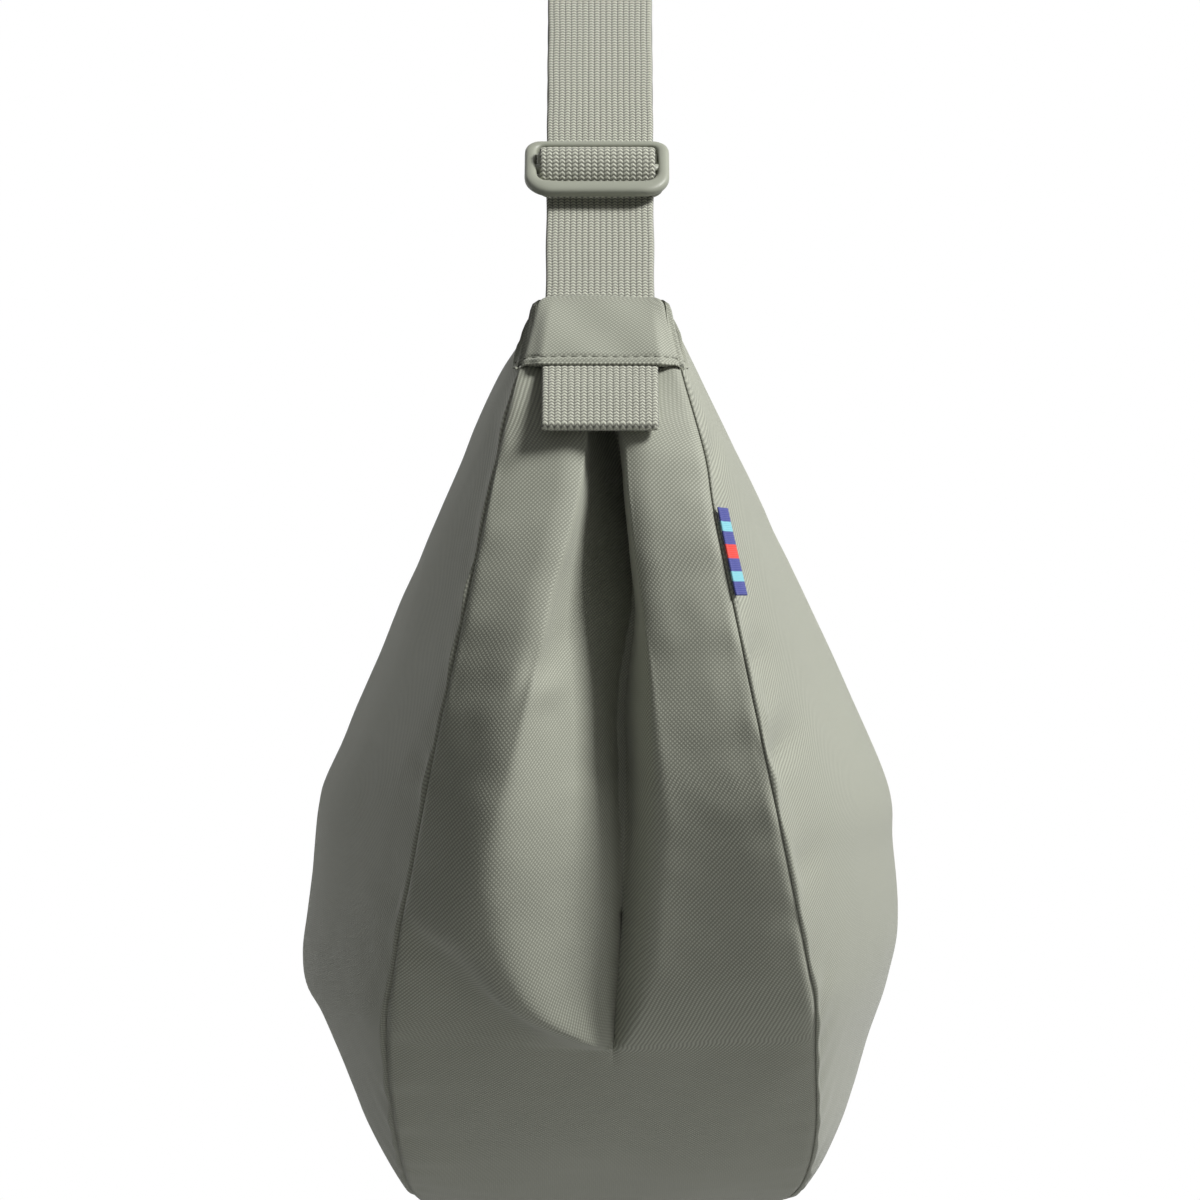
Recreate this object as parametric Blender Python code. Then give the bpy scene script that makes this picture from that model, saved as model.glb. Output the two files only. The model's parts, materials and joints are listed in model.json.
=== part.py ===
"""Half moon shoulder bag, hung by its webbing strap.

X runs through the bag from back to front, Y along the zip and Z up. The origin is the
underside of the strap's crown, where a hook or a hand carries the bag. Lengths are in metres.
"""
import math

import bmesh
import bpy
import numpy as np
from mathutils import Matrix, Vector

# Bag outline seen from the side
BAG_LENGTH = 0.496
BASE_DEPTH = 0.193
SHOULDER_RISE = 0.222
TIP_SPREAD_SHARE = 0.7742
ZIP_DROP = 0.0020
ZIP_INSET = 0.042
ZIP_MOUTH_HALF = 0.008
CAP_SEAM_DROP = 0.0245
CAP_SEAM_SAG = 0.008
SAG_PEAK_SHARE = 6.75

# Gusset, the band round the ends and the bottom
GUSSET_TIP_HALF = 0.022
GUSSET_BASE_HALF = 0.073
GUSSET_FLARE_SHARE = 0.21
GUSSET_SOFTEN = 0.004
GUSSET_CROWN = 0.004
MOUTH_ROUNDING = 0.0022

# Side panel at mid length: level, one at the zip and minus one at the base, and half thickness
PROFILE_LEVEL_SHARES = (1.0, 0.998, 0.992, 0.982, 0.964, 0.935, 0.893, 0.686, 0.397, 0.036,
                        -0.161, -0.285, -0.414, -0.518, -0.622, -0.715, -0.829, -0.928, -1.0)
PROFILE_HALVES = (0.0080, 0.0130, 0.0190, 0.0240, 0.0280, 0.0317, 0.0350, 0.0480, 0.0667,
                  0.0893, 0.1045, 0.1105, 0.1128, 0.1120, 0.1060, 0.0985, 0.0890,
                  0.0805, 0.0730)
FULL_END_POWER = 6.0
SOFT_END_POWER = 2.2

# Inverted pleat in the gusset below each cap. Its level is one at the cap seam and minus one at
# the base, and its two folds and the valley between them lie at shares of the gusset's half width.
# Lower down the cloth swells outwards along the back fold
PLEAT_LEVEL_SHARES = (1.0, 0.784, 0.328, 0.095, -0.171, -0.347, -0.487, -0.611, -0.777, -1.0)
BACK_FOLD_SHARES = (-0.10, -0.18, -0.385, -0.440, -0.575, -0.585, -0.375, -0.08, -0.2, -0.333)
VALLEY_SHARES = (0.03, 0.05, 0.115, 0.122, 0.130, 0.115, 0.085, 0.055, 0.08, 0.1)
FRONT_FOLD_SHARES = (0.14, 0.24, 0.38, 0.44, 0.54, 0.50, 0.34, 0.19, 0.28, 0.45)
PLEAT_DEPTHS = (0.0, 0.022, 0.030, 0.026, 0.019, 0.014, 0.009, 0.0005, 0.0, 0.0)
BACK_RIDGE_RISES = (0.0, 0.0, 0.002, 0.0045, 0.014, 0.0165, 0.0125, 0.0005, 0.0, 0.0)
LOBE_CELLS = 5
SLOPE_CELLS = 3

# Cloth and seams
CLOTH = 0.0014
SEAM_GAP = 0.0004
CLEARANCE = 0.0003
CAP_LIP = 0.0056
LIP_LEVEL_SHARE = 0.16
LIP_EDGE_SHARE = 0.18
MOUTH_DEPTH = 0.0058
MOUTH_SHARES = (0.0, 0.30, 0.62, 0.78, 0.90, 1.0)
MOUTH_ACROSS_SHARES = (0.0, 0.42, 0.88, 0.97, 1.0, 1.0)
MOUTH_DEPTH_SHARES = (1.0, 1.0, 0.98, 0.80, 0.42, 0.0)

# Webbing
WEB_WIDTH = 0.038
WEB = 0.0016
TAB_WIDTH = 0.040
TAB_DROP = 0.0314
TAB_ROOT = 0.004
TAB_STAND_OFF = 0.0032
CROWN_RADIUS = 0.025
CROWN_FLAT = 0.012
STUB_ROOT = 0.012

# Swing of the bag below the strap
SWING_RADIUS = 0.025
SWING_RISE = 0.002

# Strap slider and far ring
SLIDER_ALONG = 0.0645
SLIDER_WIDTH = 0.0514
SLIDER_HEIGHT = 0.0272
SLIDER_BAR = 0.0042
SLIDER_SIDE = 0.0044
SLIDER_THICK = 0.0045
SLIDER_CORNER = 0.0055
CENTRE_BAR = 0.0036
BAR_EDGE = 0.0011
WRAP_HALF = 0.0078
WRAP_LIFT = 0.0046
RING_ALONG = 0.096
RING_HEIGHT = 0.026
RING_BAR = 0.0040
RING_EDGE = 0.0017
RETURN_MERGE = 0.030

# Zip
TAPE = 0.0006
TAPE_DROP = 0.0031
TAPE_GAP = 0.0010
TAPE_EDGE = 0.0115
TAPE_TUCK = 0.006
COIL_GAP = 0.0008
COIL_WIDTH = 0.0025
COIL_HIGH = 0.0018
COIL_INSET = 0.006
STOP_LENGTH = 0.003
STOP_WIDTH = 0.0072
PLATE = 0.0015
PLATE_WIDTH = 0.0098
PLATE_LENGTH = 0.016
PLATE_FLANGE = 0.0012
KEEL = 0.0009
KEEL_LENGTH = 0.004
BRIDGE_LENGTH = 0.011
BRIDGE_BAR = 0.0014
BRIDGE_GAP = 0.0019
BRIDGE_WIDTH = 0.0028
PULL_PIN = 0.0012
PULL_EYE_WIDTH = 0.0080
PULL_EYE_LENGTH = 0.0075
PULL_WIDTH = 0.0075
PULL_LENGTH = 0.024
PULL_THICK = 0.0014
ZIP_REST_INSET = 0.002

# Woven side label
LABEL_TOP = 0.068
LABEL_FOOT = 0.038
LABEL_REACH_SHARE = 0.065
LABEL = 0.0010

# Mesh density
SEAM_STEPS = 51
PANEL_ROWS = 24
CAP_COLUMNS = 11
CAP_STEPS = 7
WEB_COLUMNS = 9
ARC_STEPS = 9
DENSE = 4001

# Colours
CLOTH_COLOUR = (0.340, 0.350, 0.285, 1.0)
WEB_COLOUR = (0.370, 0.380, 0.315, 1.0)
PLASTIC_COLOUR = (0.265, 0.285, 0.215, 1.0)
TAPE_COLOUR = (0.300, 0.310, 0.250, 1.0)
METAL_COLOUR = (0.420, 0.420, 0.390, 1.0)
LABEL_COLOUR = (0.050, 0.090, 0.250, 1.0)

HALF = BAG_LENGTH / 2
TIP_SPREAD = BAG_LENGTH * TIP_SPREAD_SHARE
TIP_ANGLE = math.acos(TIP_SPREAD_SHARE)
TIP_HEIGHT = SHOULDER_RISE * math.sin(TIP_ANGLE)
ZIP_HEIGHT = TIP_HEIGHT - ZIP_DROP
ZIP_LENGTH = TIP_SPREAD - 2 * ZIP_INSET
COIL_LENGTH = ZIP_LENGTH - 2 * COIL_INSET
ZIP_REST = COIL_LENGTH / 2 - PLATE_LENGTH / 2 - ZIP_REST_INSET
CAP_SEAM_HEIGHT = TIP_HEIGHT - CAP_SEAM_DROP
LEAN = math.atan2(HALF * math.sin(TIP_ANGLE), SHOULDER_RISE * math.cos(TIP_ANGLE))
RUN_RADIUS = CROWN_RADIUS + WEB + CLEARANCE + WEB / 2
RETURN_RADIUS = CROWN_RADIUS + WEB / 2
LAYER_STEP = WEB + CLEARANCE
ROOT_DEPTH = CLOTH + CLEARANCE + WEB / 2


def unit(vectors):
    """Vectors of length one."""
    return vectors / np.linalg.norm(vectors, axis=-1, keepdims=True)


def blend_step(value):
    """Smooth step from zero to one."""
    value = np.clip(value, 0, 1)
    return value * value * (3 - 2 * value)


def strap_levels():
    """Heights of the crown's arc centre and of the bag's widest level, crown underside at zero."""
    out_y = -math.cos(LEAN)
    out_z = math.sin(LEAN)
    root_y = -TIP_SPREAD / 2 - out_y * ROOT_DEPTH
    root_z = TIP_HEIGHT - out_z * ROOT_DEPTH
    centre = root_z - (RUN_RADIUS - (root_y + CROWN_FLAT / 2) * out_y) / out_z
    return centre, -(centre + CROWN_RADIUS)


ARC_LEVEL, WIDEST_Z = strap_levels()
PIVOT_Z = WIDEST_Z + TIP_HEIGHT + SWING_RISE
BASE_Z = WIDEST_Z - BASE_DEPTH


# Surfaces of the bag

def gusset_line():
    """Centre line of the gusset from near tip to far tip: share, y and height."""
    angle = np.linspace(TIP_ANGLE, -math.pi - TIP_ANGLE, DENSE)
    rise = np.where(np.sin(angle) > 0, SHOULDER_RISE, BASE_DEPTH)
    y = -HALF * np.cos(angle)
    height = rise * np.sin(angle)
    share = np.concatenate([[0], np.cumsum(np.hypot(np.diff(y), np.diff(height)))])
    return share / share[-1], y, height


LINE_SHARE, LINE_Y, LINE_HEIGHT = gusset_line()
CAP_SHARE = float(np.interp(-CAP_SEAM_HEIGHT, -LINE_HEIGHT[:DENSE // 4], LINE_SHARE[:DENSE // 4]))


def line_at(share):
    """Point and outward normal on the gusset's centre line."""
    y = np.interp(share, LINE_SHARE, LINE_Y)
    height = np.interp(share, LINE_SHARE, LINE_HEIGHT)
    run_y = np.interp(share, LINE_SHARE, np.gradient(LINE_Y))
    run_z = np.interp(share, LINE_SHARE, np.gradient(LINE_HEIGHT))
    size = np.hypot(run_y, run_z)
    return y, height, run_z / size, -run_y / size


def flare(height):
    """Half width of the gusset at a level."""
    wide = GUSSET_TIP_HALF + GUSSET_FLARE_SHARE * (TIP_HEIGHT - height)
    spare = (GUSSET_BASE_HALF - wide) / GUSSET_SOFTEN
    return GUSSET_BASE_HALF - GUSSET_SOFTEN * np.logaddexp(0, spare)


def gusset_half(share):
    """Half width of the gusset along its line, rounded off at the mouths."""
    _, height, _, _ = line_at(share)
    soft = flare(height)
    span = np.hypot(np.diff(LINE_Y), np.diff(LINE_HEIGHT)).sum()
    from_mouth = np.minimum(share, 1 - share) * span
    inside = np.clip(1 - from_mouth / MOUTH_ROUNDING, 0, 1)
    return soft - MOUTH_ROUNDING * (1 - np.sqrt(1 - inside * inside)) / 2


def profile_curve():
    """Side panel's mid section as a smooth dense curve: height and half thickness."""
    levels = np.array(PROFILE_LEVEL_SHARES)
    points = np.column_stack([levels * np.where(levels > 0, ZIP_HEIGHT, BASE_DEPTH),
                              PROFILE_HALVES])
    padded = np.vstack([2 * points[0] - points[1], points, 2 * points[-1] - points[-2]])
    pieces = []
    step = np.linspace(0, 1, 24, endpoint=False)[:, None]
    for index in range(1, len(padded) - 2):
        before, start, end, after = padded[index - 1:index + 3]
        pieces.append(0.5 * (2 * start + (end - before) * step
                             + (2 * before - 5 * start + 4 * end - after) * step ** 2
                             + (3 * start - before - 3 * end + after) * step ** 3))
    curve = np.vstack(pieces + [points[-1:]])
    curve[:, 0] = np.minimum.accumulate(curve[:, 0])
    return curve


PROFILE = profile_curve()


def row_shares():
    """Rows of the side panels, even along the mid section's length."""
    steps = np.hypot(np.diff(PROFILE[:, 0]), np.diff(PROFILE[:, 1]))
    length = np.concatenate([[0], np.cumsum(steps)])
    even = np.linspace(0, 1, PANEL_ROWS + 1)
    even = even ** 1.25
    height = np.interp(even * length[-1], length, PROFILE[:, 0])
    return (ZIP_HEIGHT - height) / (ZIP_HEIGHT + BASE_DEPTH)


ROWS = row_shares()


def side_half(y, height):
    """Half thickness of the bag at a place on its side."""
    mid = np.interp(-height, -PROFILE[:, 0], PROFILE[:, 1])
    edge = flare(height)
    rise = np.where(height > 0, SHOULDER_RISE, BASE_DEPTH)
    reach = HALF * np.sqrt(np.clip(1 - (height / rise) ** 2, 0, 1))
    across = np.clip(np.abs(y) / np.maximum(reach, CLEARANCE), 0, 1)
    power = SOFT_END_POWER + (FULL_END_POWER - SOFT_END_POWER) * blend_step(height / ZIP_HEIGHT)
    return edge + (mid - edge) * (1 - across ** power)


def seam_points(share):
    """Front seam between gusset and side panel."""
    y, height, _, _ = line_at(share)
    return np.stack([gusset_half(share), y, WIDEST_Z + height], axis=-1)


def panel_surface(steps, rows):
    """Front side panel: steps run from near cap to far cap, rows from zip to seam."""
    steps = np.asarray(steps)[:, None]
    rows = np.asarray(rows)[None, :]
    top_y = ZIP_LENGTH * (steps - 0.5)
    seam = seam_points(CAP_SHARE + (1 - 2 * CAP_SHARE) * steps)
    y = top_y + (seam[..., 1] - top_y) * rows
    height = ZIP_HEIGHT + (seam[..., 2] - WIDEST_Z - ZIP_HEIGHT) * rows
    from_end = np.minimum(steps, 1 - steps)
    height = height - CAP_SEAM_SAG * SAG_PEAK_SHARE * rows ** 2 * (1 - rows) * (1 - from_end) ** 14
    half = side_half(y, height)
    top_half = side_half(top_y, ZIP_HEIGHT + 0 * top_y)
    half = half + (ZIP_MOUTH_HALF - top_half) * (1 - rows) ** 10
    seam_half = side_half(seam[..., 1], seam[..., 2] - WIDEST_Z)
    half = half + (seam[..., 0] - seam_half) * rows ** 4
    return np.stack([half, y, WIDEST_Z + height], axis=-1)


def mouth_section(rows):
    """Front half of the closed tip, from the top centre line to the gusset seam."""
    across = np.interp(rows, MOUTH_SHARES, MOUTH_ACROSS_SHARES)
    depth = MOUTH_DEPTH * np.interp(rows, MOUTH_SHARES, MOUTH_DEPTH_SHARES)
    y, height, out_y, out_z = line_at(0.0)
    half = float(gusset_half(0.0))
    x = SEAM_GAP / 2 + (half - SEAM_GAP / 2) * across
    return np.stack([x, y - out_y * depth, WIDEST_Z + height - out_z * depth], axis=-1)


def side_cap_surface(rows):
    """Near front cap: steps run from the cap seam to the strap's mouth."""
    steps = np.linspace(0, 1, CAP_STEPS)[:, None, None]
    start = panel_surface([0.0], rows)
    finish = mouth_section(rows)[None]
    body = start + (finish - start) * steps
    seam = seam_points(CAP_SHARE * (1 - steps[:, 0, 0]))
    body = body + (seam - body[:, -1])[:, None] * rows[None, :, None] ** 3
    close = SEAM_GAP / 2 - body[:, 0, 0]
    ends = blend_step(steps[:, 0, 0] * 6)
    body[:, :, 0] += (close * ends)[:, None] * (1 - rows[None, :]) ** 8
    return body


def pleat_at(height, shares):
    """Value of one of the pleat's tables at a level."""
    levels = np.array(PLEAT_LEVEL_SHARES)
    heights = levels * np.where(levels > 0, CAP_SEAM_HEIGHT, BASE_DEPTH)
    return np.interp(-height, -heights, shares)


def gusset_columns(height):
    """Places across the gusset as shares of its half width, and their shares of depth and swell."""
    folds = [-np.ones_like(height), pleat_at(height, BACK_FOLD_SHARES),
             pleat_at(height, VALLEY_SHARES), pleat_at(height, FRONT_FOLD_SHARES),
             np.ones_like(height)]
    columns, depths, swells = [], [], []
    for index, cells in enumerate((LOBE_CELLS, SLOPE_CELLS, SLOPE_CELLS, LOBE_CELLS)):
        for step in range(cells):
            part = step / cells
            columns.append(folds[index] * (1 - part) + folds[index + 1] * part)
            depths.append({0: 0.0, 1: part, 2: 1 - part, 3: 0.0}[index])
            swells.append({0: math.sin(part * math.pi / 2), 1: 1 - part, 2: 0.0, 3: 0.0}[index])
    columns.append(folds[-1])
    depths.append(0.0)
    swells.append(0.0)
    return np.concatenate(columns, axis=1), np.array(depths)[None, :], np.array(swells)[None, :]


def gusset_surface(shares, pleated):
    """Outer face of the gusset band, in one row of points for each share along it."""
    shares = np.asarray(shares)[:, None]
    y, height, out_y, out_z = line_at(shares)
    half = gusset_half(shares)
    from_cap = blend_step((np.minimum(shares, 1 - shares) - CAP_SHARE) / CAP_SHARE)
    if pleated:
        widths, depths, swells = gusset_columns(height)
    else:
        widths, depths, swells = np.linspace(-1, 1, CAP_COLUMNS + 1)[None, :], 0.0, 0.0
    lift = GUSSET_CROWN * (1 - widths ** 2) * from_cap - depths * pleat_at(height, PLEAT_DEPTHS)
    lift = lift + swells * pleat_at(height, BACK_RIDGE_RISES)
    z = np.maximum(WIDEST_Z + height + out_z * lift, BASE_Z)
    return np.stack([widths * half, y + out_y * lift, z + 0 * half], axis=-1)


def surface_normals(grid):
    """Unit normals of a grid of points, on the side away from the bag's middle."""
    across = np.gradient(grid, axis=0)
    along = np.gradient(grid, axis=1)
    normals = unit(np.cross(across, along))
    middle = np.array([0, 0, WIDEST_Z])
    outward = ((grid - middle) * normals).sum()
    return normals if outward > 0 else -normals


# Bodies from pairs of grids

def finish_object(name, vertices, faces, colour, roughness, metallic, matrix=None):
    """One named solid with its own material."""
    mesh = bpy.data.meshes.new(name)
    mesh.from_pydata([tuple(map(float, v)) for v in vertices], [], faces)
    work = bmesh.new()
    work.from_mesh(mesh)
    bmesh.ops.recalc_face_normals(work, faces=work.faces)
    if work.calc_volume(signed=True) < 0:
        bmesh.ops.reverse_faces(work, faces=work.faces)
    work.to_mesh(mesh)
    work.free()
    material = bpy.data.materials.new(name + "_material")
    material.use_nodes = True
    shader = material.node_tree.nodes["Principled BSDF"]
    shader.inputs["Base Color"].default_value = colour
    shader.inputs["Roughness"].default_value = roughness
    shader.inputs["Metallic"].default_value = metallic
    mesh.materials.append(material)
    item = bpy.data.objects.new(name, mesh)
    bpy.context.scene.collection.objects.link(item)
    if matrix is not None:
        item.matrix_world = matrix
    return item


def grid_body(name, outer, inner, colour, roughness=0.8):
    """Closed body between two grids of the same shape."""
    rows, columns = outer.shape[:2]
    vertices = np.vstack([outer.reshape(-1, 3), inner.reshape(-1, 3)])
    back = rows * columns
    faces = []
    for i in range(rows - 1):
        for j in range(columns - 1):
            a = i * columns + j
            quad = (a, a + 1, a + columns + 1, a + columns)
            faces.append(quad)
            faces.append(tuple(back + k for k in reversed(quad)))
    rim = [j for j in range(columns)]
    rim += [i * columns + columns - 1 for i in range(1, rows)]
    rim += [(rows - 1) * columns + j for j in range(columns - 2, -1, -1)]
    rim += [i * columns for i in range(rows - 2, 0, -1)]
    for a, b in zip(rim, rim[1:] + rim[:1]):
        faces.append((b, a, back + a, back + b))
    return finish_object(name, vertices, faces, colour, roughness, 0.0)


def skin(name, outer, normals, colour, creases=None, butts=()):
    """Cloth of even thickness. Creased edges are mitred, butted ones drawn back by half a gap."""
    shift = np.zeros_like(outer)
    inner = outer - normals * CLOTH
    sides = {"start": (0, slice(None)), "end": (-1, slice(None)),
             "first": (slice(None), 0), "last": (slice(None), -1)}
    nexts = {"start": (1, slice(None)), "end": (-2, slice(None)),
             "first": (slice(None), 1), "last": (slice(None), -2)}
    for side, other in (creases or {}).items():
        place = sides[side]
        own = normals[place]
        facing = (own * other).sum(axis=-1, keepdims=True)
        inner[place] = outer[place] - (own + other) * CLOTH / (1 + facing)
        shift[place] += unit(own - other) * SEAM_GAP / 2
    for side in butts:
        shift[sides[side]] += unit(outer[nexts[side]] - outer[sides[side]]) * SEAM_GAP / 2
    return grid_body(name, outer + shift, inner + shift, colour)


def flipped(grid, axis):
    """Mirror image of a grid or of its normals."""
    copy = grid.copy()
    copy[..., axis] *= -1
    return copy


# Sewn cloth pieces

def cloth_grids():
    """Outer grids and normals of the cloth pieces, near and front ones only."""
    steps = np.linspace(0, 1, SEAM_STEPS + 1)
    widths = np.linspace(-1, 1, CAP_COLUMNS + 1)
    shares = CAP_SHARE + (1 - 2 * CAP_SHARE) * steps
    panel = panel_surface(steps, ROWS)
    gusset = gusset_surface(shares, True)
    side_cap = side_cap_surface(ROWS)
    cap_shares = CAP_SHARE * (1 - np.linspace(0, 1, CAP_STEPS))
    end_cap = gusset_surface(cap_shares, False)
    lip = 1 - blend_step((np.linspace(0, 1, CAP_STEPS) - LIP_LEVEL_SHARE) / (1 - LIP_LEVEL_SHARE))
    _, _, out_y, out_z = line_at(cap_shares)
    swell = CAP_LIP * lip[:, None] * blend_step((1 - np.abs(widths[None, :])) / LIP_EDGE_SHARE)
    end_cap[..., 1] += out_y[:, None] * swell
    end_cap[..., 2] += out_z[:, None] * swell
    return {"panel": panel, "gusset": gusset, "side_cap": side_cap, "end_cap": end_cap}


def cloth_pieces():
    """Side panels, gusset and the caps over both tips."""
    grids = cloth_grids()
    normals = {key: surface_normals(grid) for key, grid in grids.items()}
    shared = unit(normals["panel"][0] + normals["side_cap"][0])
    normals["panel"][0] = shared
    normals["side_cap"][0] = shared
    normals["panel"][-1] = flipped(shared, 1)
    _, _, out_y, out_z = line_at(CAP_SHARE)
    shared = np.array([0.0, float(out_y), float(out_z)])
    normals["gusset"][0] = shared
    normals["end_cap"][0] = shared
    normals["gusset"][-1] = flipped(shared, 1)
    for sign, side in ((1, "front"), (-1, "back")):
        panel = grids["panel"] if sign > 0 else flipped(grids["panel"], 0)
        facing = normals["panel"] if sign > 0 else flipped(normals["panel"], 0)
        column = -1 if sign > 0 else 0
        skin(side + "_panel", panel, facing, CLOTH_COLOUR,
             {"last": normals["gusset"][:, column]}, ("start", "end"))
    edge = normals["panel"][:, -1]
    skin("gusset", grids["gusset"], normals["gusset"], CLOTH_COLOUR,
         {"last": edge, "first": flipped(edge, 0)}, ("start", "end"))
    for far, end in ((1, "near"), (-1, "far")):
        cap = grids["end_cap"] if far > 0 else flipped(grids["end_cap"], 1)
        cap_normals = normals["end_cap"] if far > 0 else flipped(normals["end_cap"], 1)
        rim = normals["side_cap"][:, -1]
        rim = rim if far > 0 else flipped(rim, 1)
        skin(end + "_end_cap", cap, cap_normals, CLOTH_COLOUR,
             {"last": rim, "first": flipped(rim, 0)}, ("start",))
        for sign, side in ((1, "front"), (-1, "back")):
            body = grids["side_cap"]
            facing = normals["side_cap"]
            neighbour = cap_normals[:, -1 if sign > 0 else 0]
            if far < 0:
                body = flipped(body, 1)
                facing = flipped(facing, 1)
            if sign < 0:
                body = flipped(body, 0)
                facing = flipped(facing, 0)
            skin(end + "_" + side + "_cap", body, facing, CLOTH_COLOUR,
                 {"last": neighbour}, ("start",))


def side_label():
    """Woven ribbon folded into the near front seam, lying over the panel."""
    low = np.interp(LABEL_FOOT, LINE_HEIGHT[:DENSE // 4][::-1], LINE_SHARE[:DENSE // 4][::-1])
    high = np.interp(LABEL_TOP, LINE_HEIGHT[:DENSE // 4][::-1], LINE_SHARE[:DENSE // 4][::-1])
    steps = (np.linspace(high, low, 6) - CAP_SHARE) / (1 - 2 * CAP_SHARE)
    rows = np.linspace(1 - LABEL_REACH_SHARE, 1, 5)
    grid = panel_surface(steps, rows)
    normals = surface_normals(grid)
    grid_body("side_label", grid + normals * (CLEARANCE + LABEL), grid + normals * CLEARANCE,
              LABEL_COLOUR)


# Webbing

def branch(along, above, far=False):
    """Point beside a strap branch: along it from the tip and above its outer face's middle."""
    out_y, out_z = -math.cos(LEAN), math.sin(LEAN)
    root_y = -TIP_SPREAD / 2 - out_y * ROOT_DEPTH
    root_z = WIDEST_Z + TIP_HEIGHT - out_z * ROOT_DEPTH
    y = root_y + along * math.sin(LEAN) + above * out_y
    z = root_z + along * math.cos(LEAN) + above * out_z
    return (-y if far else y, z)


def arch(radius, reverse=False):
    """Crown of the strap from the near tangent point to the far one."""
    turn = math.pi / 2 - LEAN
    points = []
    for index in range(ARC_STEPS + 1):
        angle = math.pi - LEAN - turn * index / ARC_STEPS
        points.append((-CROWN_FLAT / 2 + radius * math.cos(angle),
                       -CROWN_RADIUS + radius * math.sin(angle)))
    points += [(-y, z) for y, z in reversed(points)]
    return points[::-1] if reverse else points


def loop_round(along, above, radius, far, up):
    """Half turn of webbing round a bar across the strap."""
    points = []
    for index in range(ARC_STEPS + 1):
        angle = math.pi * index / ARC_STEPS
        lift = math.sin(angle) * radius * (1 if up else -1)
        points.append(branch(along + lift, above + math.cos(angle) * radius, far))
    return points


def ribbon(name, path, width, cut_start=None, cut_end=None, thick=WEB, colour=WEB_COLOUR):
    """Webbing of even thickness along a path of y and z, its ends cut square or to an arc."""
    path = np.asarray(path)
    run = unit(np.gradient(path, axis=0))
    before = unit(path[1:-1] - path[:-2])
    after = unit(path[2:] - path[1:-1])
    middle = unit(before + after)
    run[1:-1] = middle
    reach = np.ones(len(path))
    reach[1:-1] = 1 / np.clip((middle * after).sum(axis=1), 0.7, 1)
    side = np.stack([-run[:, 1], run[:, 0]], axis=1) * reach[:, None]
    across = np.linspace(-width / 2, width / 2, WEB_COLUMNS + 1)
    grids = []
    for offset in (thick / 2, -thick / 2):
        line = path + side * offset
        grid = np.zeros((len(path), len(across), 3))
        grid[..., 0] = across[None, :]
        grid[..., 1] = line[:, 0, None]
        grid[..., 2] = line[:, 1, None]
        for place, radius in ((0, cut_start), (-1, cut_end)):
            if radius is None:
                continue
            level = PIVOT_Z + np.sqrt(radius ** 2 - across ** 2)
            slide = (level - grid[place, :, 2]) / run[place, 1]
            grid[place, :, 1] += slide * run[place, 0]
            grid[place, :, 2] = level
        grids.append(grid)
    return grid_body(name, grids[0], grids[1], colour, 0.85)


def along_branch(start, end, above, count, far=False):
    """Even points along a straight branch."""
    return [branch(a, above, far) for a in np.linspace(start, end, count)]


def strap_webbing():
    """Strap stubs, the doubled arch round the far ring and the short strap that holds the ring."""
    cut_height = (SWING_RISE + SWING_RADIUS) / math.cos(LEAN)
    for far, end in ((False, "near"), (True, "far")):
        ribbon(end + "_strap_stub", along_branch(-STUB_ROOT, cut_height, 0, 4, far), WEB_WIDTH,
               cut_end=SWING_RADIUS)
    wrap = RING_BAR / 2 + CLEARANCE + WEB / 2
    upper = RING_ALONG + RING_HEIGHT / 2 - RING_BAR / 2
    lower = RING_ALONG - RING_HEIGHT / 2 + RING_BAR / 2
    path = [branch(cut_height, 0), branch(SLIDER_ALONG, 0)]
    path += arch(RUN_RADIUS)
    path += loop_round(upper, -wrap, wrap, True, False)
    path += [branch(upper + RING_BAR, -wrap * 2, True),
             branch(upper + RETURN_MERGE, -LAYER_STEP, True)]
    path += arch(RETURN_RADIUS, reverse=True)
    path += [branch(SLIDER_ALONG - CENTRE_BAR, -LAYER_STEP)]
    ribbon("shoulder_strap", path, WEB_WIDTH, cut_start=SWING_RADIUS + CLEARANCE)
    path = [branch(cut_height, 0, True), branch(lower - RING_BAR, 0, True)]
    path += loop_round(lower, -wrap, wrap, True, True)
    path += [branch(lower - RING_BAR * 0.8, -wrap * 2, True),
             branch(lower - RING_BAR * 2.5, -LAYER_STEP, True),
             branch(cut_height + RING_BAR, -LAYER_STEP, True)]
    ribbon("ring_strap", path, WEB_WIDTH, cut_start=SWING_RADIUS + CLEARANCE)


def tab_loops():
    """Folded webbing tabs that come out below the end caps."""
    y, height, out_y, out_z = (float(v) for v in line_at(CAP_SHARE))
    along_y, along_z = out_z, -out_y
    fold = WEB / 2 + CLEARANCE
    for far, end in ((1, "near"), (-1, "far")):
        path = []
        for drop, lift in ((-TAB_ROOT, fold), (0, fold), (TAB_DROP / 2, fold + TAB_STAND_OFF * 0.55),
                           (TAB_DROP - fold, fold + TAB_STAND_OFF)):
            path.append((drop, lift))
        base_lift = path[-1][1]
        for index in range(1, 5):
            angle = math.pi * index / 5
            path.append((path[3][0] + math.sin(angle) * fold,
                         base_lift + fold * (1 - math.cos(angle))))
        path += [(drop, lift + 2 * fold) for drop, lift in reversed(path[:4])]
        points = []
        for drop, lift in path:
            point_y = y + lift * out_y - drop * along_y
            point_z = WIDEST_Z + height + lift * out_z - drop * along_z
            points.append((far * point_y, point_z))
        ribbon(end + "_tab", points, TAB_WIDTH)


# Plastic strap fittings

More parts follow.
